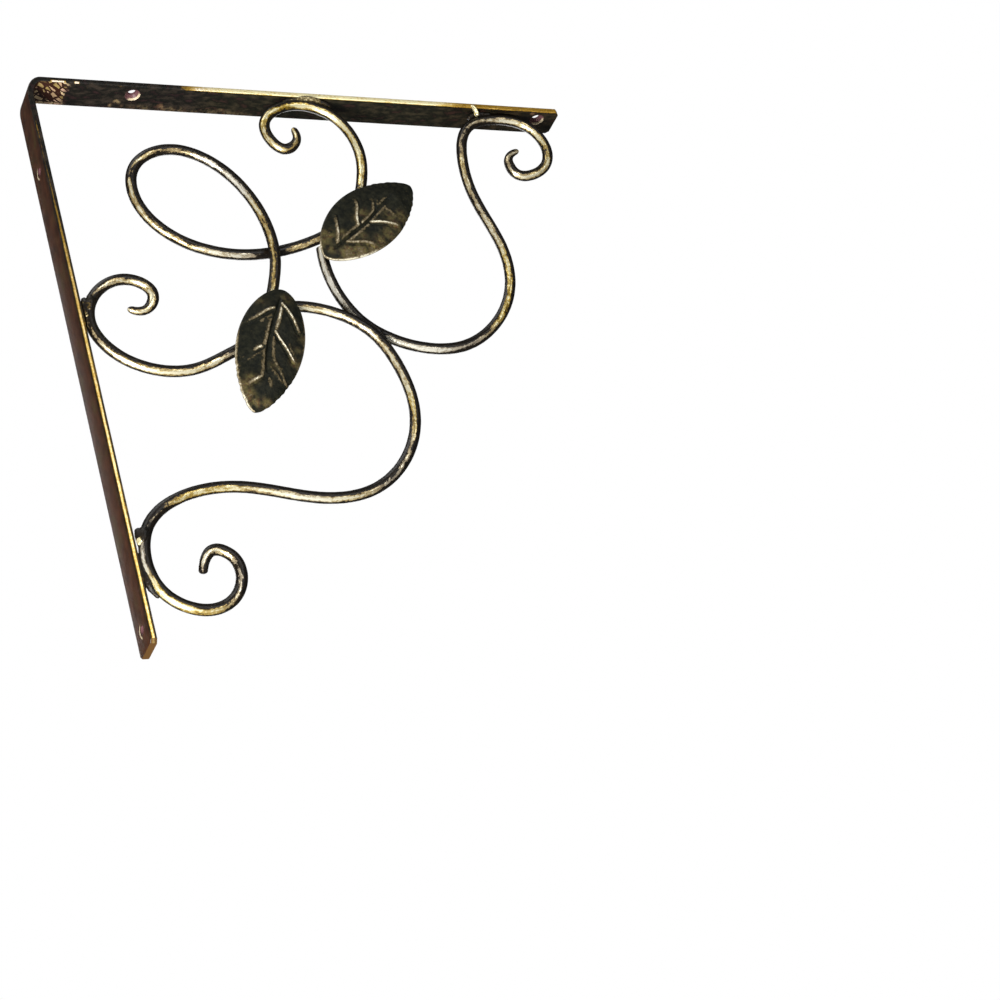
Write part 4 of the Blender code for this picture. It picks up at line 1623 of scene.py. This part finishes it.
LOWER_LEAF = PressedLeaf(
    name="lower_leaf",
    foot=(93.7, 118.9),
    tip=(65.7, 183.4),
    rim_depth=-9.4,
    left=(14.7, 0.87),
    right=(14.7, 0.87),
    shift=1.7,
    lines=(
        Line(((5.5, -0.5, 0.4), (10.0, -0.7, 1.0), (18.0, -1.2, 1.0), (30.5, -1.2, 1.0),
              (36.0, -0.9, 1.0), (43.0, -0.2, 0.9), (49.0, 1.2, 0.5)), lift=-0.75, width=0.65),
        Line(((8.0, 0.4, 0.4), (12.6, 0.6, 1.1), (18.0, 0.7, 1.1), (24.4, 0.5, 0.8)), width=0.75),
        Line(((20.0, -2.7, 0.35), (24.0, -2.8, 0.6), (31.0, -2.8, 0.7), (36.0, -2.7, 0.6),
              (45.8, -1.4, 0.5), (52.2, -0.8, 0.5))),
        Line(((52.2, -0.8, 0.7), (54.6, -2.7, 0.95), (57.5, -4.8, 0.5)), shadow=1),
        Line(((28.0, 0.4, 0.35), (31.0, 0.5, 0.5), (36.0, 1.2, 0.5), (41.6, 3.0, 0.4), (45.2, 6.0, 0.45))),
        Line(((46.3, 1.9, 0.4), (48.6, 5.1, 0.45), (50.9, 7.8, 0.4)), lift=0.3),
        Line(((45.7, 6.1, 0.4), (51.3, 10.2, 0.55)), lift=0.3),
        Line(((9.1, 0.4, 1.2), (16.2, 7.2, 1.1), (21.0, 10.3, 0.6)), shadow=-1),
        Line(((26.2, 0.4, 1.3), (29.4, 3.2, 1.25), (33.5, 7.4, 1.2), (37.5, 10.9, 0.9)),
             shadow=-1, width=0.70),
        Line(((30.5, 7.6, 0.35), (34.0, 10.2, 0.35)), lift=0.25),
        Line(((13.5, -2.5, 0.9), (15.9, -5.2, 0.9), (21.2, -9.0, 0.75), (24.6, -11.9, 0.3)), shadow=1),
        Line(((17.9, -2.9, 0.3), (22.7, -6.7, 0.5)), lift=0.3),
        Line(((36.5, -4.0, 1.15), (38.3, -5.5, 1.1), (40.0, -6.6, 0.4), (45.1, -10.3, 0.3)), shadow=1),
        Line(((38.9, -3.5, 0.45), (45.7, -8.2, 0.4)), lift=0.3),
        # A short low ridge whose gold is a painted highlight
        Line(((52.2, 2.7, 0.5), (55.4, 4.0, 0.5)), lift=0.25),
    ),
    left_rim=((0.0, 0.1), (9.0, 0.3), (15.0, 0.7), (24.0, 0.7), (31.0, 0.4), (40.0, 0.45), (46.0, 0.1),
              (70.0, 0.15)),
    right_rim=((0.0, 0.1), (28.0, 0.15), (36.0, 0.9), (52.0, 0.9), (58.0, 0.7), (66.0, 1.0), (70.0, 0.9)),
    hazes=(
        (38.0, 11.6, 2.2, 0.8), (31.0, 12.0, 2.0, 0.3), (24.0, 12.0, 2.2, 0.3),
        (58.5, -6.5, 2.4, 0.8), (63.2, -4.0, 2.4, 1.1), (65.6, -0.6, 2.2, 1.0), (64.3, 4.0, 2.2, 0.8),
        (55.0, -4.5, 2.4, 0.7), (11.0, -8.5, 2.4, 0.3), (5.0, 2.0, 2.4, 0.4), (44.0, 3.0, 2.0, 0.25),
    ),
)


# Welds

@dataclass(frozen=True)
class Bead:
    """One run of weld: the gold on it, and (out, drop, depth, radius) along it."""

    gilt: float
    run: tuple[tuple[float, float, float, float], ...]


@dataclass
class Weld:
    """Beads of weld run together."""

    name: str
    beads: tuple[Bead, ...]
    nodes: tuple[str, ...] = ()
    spacing: float = 0.5
    voxel: float = 0.20
    ripple: float = 0.60
    ripple_size: float = 1.3
    ripple_layers: float = 3.0
    seed: int = 7

    def seed_points(self) -> bpy.types.Mesh:
        """Space points closely along each bead.

        Returns:
            The loose points, which keep their sizes and gold.
        """
        points, sizes, gilts = [], [], []
        for bead in self.beads:
            stops = np.array([(*place(*stop[:3]), stop[3]) for stop in bead.run])
            line = smooth_path(stops, self.spacing) if len(stops) > 2 else stops
            points.append(line[:, :3])
            sizes.append(line[:, 3])
            gilts.append(np.full(len(line), bead.gilt))
        spots, size, gilt = (np.concatenate(part) for part in (points, sizes, gilts))
        return seed_mesh(self.name, spots, [], size=size, gilt=gilt)

    def grower(self, material: bpy.types.Material) -> Grower:
        """Melt the points into one bead and ripple it.

        Args:
            material: the weld's finish.

        Returns:
            The tree that does it.
        """
        grower = Grower(f"{self.name}_bead")
        bench = grower.bench
        voxel = grower.input("Voxel", self.voxel)
        ripple = grower.input("Ripple Depth", self.ripple)
        size = grower.input("Ripple Size", self.ripple_size)
        pick = grower.input("Seed", self.seed)
        finish = grower.input("Finish", material)
        spots = bench.out("GeometryNodeMeshToPoints", grower.given.outputs["Geometry"])
        cloud = bench.node("GeometryNodePointsToVolume", resolution_mode="VOXEL_SIZE")
        for name, value in (("Points", spots), ("Voxel Size", voxel), ("Radius", grower.read("size"))):
            bench.feed(cloud.inputs[name], value)
        skin = bench.node("GeometryNodeVolumeToMesh", resolution_mode="VOXEL_SIZE")
        for name, value in (("Volume", cloud.outputs["Volume"]), ("Voxel Size", voxel)):
            bench.feed(skin.inputs[name], value)
        nearest = bench.out("GeometryNodeSampleNearest", spots, domain="POINT")
        gilt = bench.out("GeometryNodeSampleIndex", spots, grower.read("gilt"), nearest)
        bead = grower.store(skin.outputs["Mesh"], "gilt", gilt, "FLOAT")
        at = bench.out("GeometryNodeInputPosition")
        noise = grower.rough(at, size, pick, self.ripple_layers)
        lift = bench.product(bench.maths("SUBTRACT", noise, 0.5), ripple)
        bead = grower.store(grower.swell(bead, lift), "skin", at, "FLOAT_VECTOR")
        grower.finish(bead, finish)
        return grower

    def build(self, material: bpy.types.Material) -> None:
        """Make the weld and put it in the scene."""
        mesh = self.grower(material).grow(self.seed_points())
        show(f"{self.name}_bead", mesh, Slot.WELD, *self.nodes)


WELDS = (
    Weld("left_curl_weld", (
        Bead(0.02, ((5.0, 123.2, -5.6, 1.2), (5.2, 125.5, -6.0, 1.9), (5.0, 128.5, -6.0, 1.8),
                    (4.7, 131.5, -5.8, 1.1))),
        Bead(0.10, ((7.4, 122.6, -6.8, 1.4), (7.0, 125.5, -7.2, 1.7), (6.2, 128.5, -7.0, 1.4))),
        Bead(0.45, ((4.6, 132.0, -6.6, 0.8), (4.8, 134.0, -6.4, 0.7))),
    ), ("left_curl_weld",), seed=7),
    Weld("wall_scroll_weld", (
        Bead(-0.05, ((5.2, 239.2, -6.6, 1.5), (5.2, 241.5, -7.2, 1.9), (5.0, 244.0, -7.2, 1.6),
                     (4.6, 246.5, -7.0, 0.9))),
        Bead(-0.05, ((6.4, 239.4, -7.8, 1.4), (7.4, 239.4, -8.0, 1.6), (8.4, 239.0, -7.8, 1.3))),
        Bead(-0.05, ((6.8, 240.4, -8.6, 1.5), (6.4, 242.4, -8.8, 1.5), (5.8, 244.4, -8.6, 1.1))),
        # A tiny bead of full gold: a painted highlight at the weld's lower end
        Bead(1.10, ((4.0, 245.0, -8.3, 0.34), (4.0, 245.2, -8.3, 0.34))),
        Bead(-0.15, ((3.5, 250.0, -6.6, 0.8), (3.6, 255.0, -6.6, 1.0), (3.9, 260.0, -6.8, 1.3),
                     (4.6, 263.5, -6.6, 1.6), (5.8, 266.5, -6.2, 1.2), (7.4, 269.0, -6.0, 0.8))),
    ), ("wall_scroll_weld",), seed=13),
    Weld("top_curl_weld", (
        Bead(0.10, ((122.0, 5.0, -5.8, 1.0), (127.0, 3.8, -6.2, 1.2), (132.0, 3.4, -6.2, 1.3),
                    (137.0, 3.7, -6.2, 1.4), (141.0, 4.6, -5.8, 1.4), (144.5, 5.8, -5.2, 1.1))),
        Bead(0.45, ((129.0, 3.4, -7.0, 0.7), (134.0, 3.0, -7.2, 0.9), (139.0, 3.6, -7.0, 0.8))),
    ), ("top_curl_weld",), seed=17),
    Weld("shelf_scroll_weld", (
        Bead(-0.10, ((217.0, 6.2, -4.2, 1.2), (220.0, 4.8, -4.4, 1.5), (224.0, 4.2, -4.2, 1.5),
                     (228.0, 4.0, -4.2, 1.2))),
        Bead(1.00, ((218.6, 1.8, -7.4, 0.8), (219.6, 3.8, -7.2, 1.0), (220.4, 5.8, -6.6, 0.9))),
    ), ("shelf_scroll_weld",), seed=19),
    Weld("scroll_seam_weld", (
        Bead(0.00, ((129.0, 130.4, -5.0, 1.2), (132.0, 133.6, -5.6, 1.8), (135.0, 137.0, -5.6, 1.9),
                    (137.5, 140.6, -5.2, 1.3))),
    ), seed=29),
    Weld("upper_leaf_tack", (
        Bead(0.05, ((121.5, 86.5, -6.2, 1.5), (122.5, 89.5, -6.8, 1.9), (122.0, 93.5, -6.6, 1.6))),
    ), seed=31),
    Weld("lower_leaf_tack", (
        Bead(0.05, ((90.2, 121.5, -8.0, 1.3), (92.0, 124.0, -8.6, 1.7), (91.0, 127.5, -8.6, 1.6))),
    ), seed=37),
)


# Studio

@dataclass
class Softbox:
    """A square area light."""

    name: str
    place: tuple[float, float, float]
    size: float
    power: float
    tint: Colour = (1.0, 1.0, 1.0)


@dataclass
class Studio:
    """Camera, lights, pale surroundings and floor. Places are in metres."""

    eye: tuple[float, float, float] = (-0.32703, -0.82713, -0.62785)
    look: tuple[float, float, float] = (0.449035, 0.743690, 0.495271)
    up: tuple[float, float, float] = (0.011589, -0.559097, 0.829022)
    sensor: float = 36.0
    lens: float = 93.6
    floor_drop: float = -1.6
    floor_size: float = 12.0
    floor_grey: float = 0.8
    floor_rough: float = 0.9
    ambient: float = 0.06
    target: tuple[float, float, float] = (0.12, 0.0, 0.0)
    softboxes: tuple[Softbox, ...] = (
        Softbox("key_light", (-0.60, -0.48, -0.86), 0.45, 34.0, (1.0, 0.98, 0.95)),
        Softbox("front_fill", (0.55, -1.30, 0.35), 0.8, 8.0),
        Softbox("back_fill", (0.40, 1.40, 0.60), 1.0, 12.0),
        Softbox("top_fill", (-0.30, -0.10, 1.40), 1.0, 10.0),
    )

    def add_camera(self) -> None:
        """Stand the camera where the photograph was taken from."""
        look = Vector(self.look).normalized()
        right = look.cross(Vector(self.up)).normalized()
        turn = Matrix((right, right.cross(look), -look)).transposed().to_4x4()
        data = bpy.data.cameras.new("camera")
        data.sensor_width = self.sensor
        data.lens = self.lens
        camera = bpy.data.objects.new("camera", data)
        camera.matrix_world = Matrix.Translation(self.eye) @ turn
        bpy.context.scene.collection.objects.link(camera)
        bpy.context.scene.camera = camera

    def add_softboxes(self) -> None:
        """Hang the lights, each turned to the bracket."""
        for box in self.softboxes:
            data = bpy.data.lights.new(box.name, "AREA")
            data.size = box.size
            data.energy = box.power
            data.color = box.tint
            light = bpy.data.objects.new(box.name, data)
            towards = Vector(self.target) - Vector(box.place)
            turn = towards.to_track_quat("-Z", "Y").to_matrix().to_4x4()
            light.matrix_world = Matrix.Translation(box.place) @ turn
            bpy.context.scene.collection.objects.link(light)

    def add_surroundings(self) -> None:
        """White behind the bracket, which lights it only softly, over a pale floor."""
        world = bpy.data.worlds.new("studio")
        world.use_nodes = True
        bench = Wiring(world.node_tree)
        world.node_tree.nodes.clear()
        seen = bench.node("ShaderNodeLightPath").outputs["Is Camera Ray"]
        strength = bench.maths("MULTIPLY_ADD", seen, 1.0 - self.ambient, self.ambient)
        glow = bench.node("ShaderNodeBackground", (1.0, 1.0, 1.0, 1.0), strength)
        ending = bench.node("ShaderNodeOutputWorld")
        world.node_tree.links.new(glow.outputs["Background"], ending.inputs["Surface"])
        bpy.context.scene.world = world

        half = self.floor_size / 2
        corners = [(-half, -half), (half, -half), (half, half), (-half, half)]
        mesh = bpy.data.meshes.new("floor")
        mesh.from_pydata([(x, y, self.floor_drop) for x, y in corners], [], [(0, 1, 2, 3)])
        material = bpy.data.materials.new("pale_floor")
        material.use_nodes = True
        shader = material.node_tree.nodes["Principled BSDF"]
        bench = Wiring(material.node_tree)
        grey = (self.floor_grey, self.floor_grey, self.floor_grey, 1.0)
        looks = {
            "Base Color": grey,
            "Roughness": self.floor_rough,
            "Emission Color": grey,
            "Emission Strength": bench.node("ShaderNodeLightPath").outputs["Is Camera Ray"],
        }
        for name, value in looks.items():
            bench.feed(shader.inputs[name], value)
        mesh.materials.append(material)
        floor = bpy.data.objects.new("floor", mesh)
        bpy.context.scene.collection.objects.link(floor)

    def build(self) -> None:
        """Set the studio up."""
        bpy.context.scene.view_settings.view_transform = "Standard"
        self.add_camera()
        self.add_softboxes()
        self.add_surroundings()


def main() -> None:
    """Build the studio and then the bracket, piece by piece."""
    logging.basicConfig(level=logging.INFO, format="%(name)s: %(message)s")
    Studio().build()
    BentBar().build()
    # The rods' gold includes a painted highlight along their crowns
    brushed = AntiqueGold("brushed_gold_rod_and_painted_highlight").material()
    for rod in (LOOPED_ROD, SHELF_SCROLL, WALL_SCROLL):
        rod.build(brushed)
    foliage = LeafPaint("rubbed_leaf_and_painted_shade").material()
    for leaf in (UPPER_LEAF, LOWER_LEAF):
        leaf.build(foliage)
    welded = WeldPaint("sooty_weld").material()
    for weld in WELDS:
        weld.build(welded)


if __name__ == "__main__":
    main()
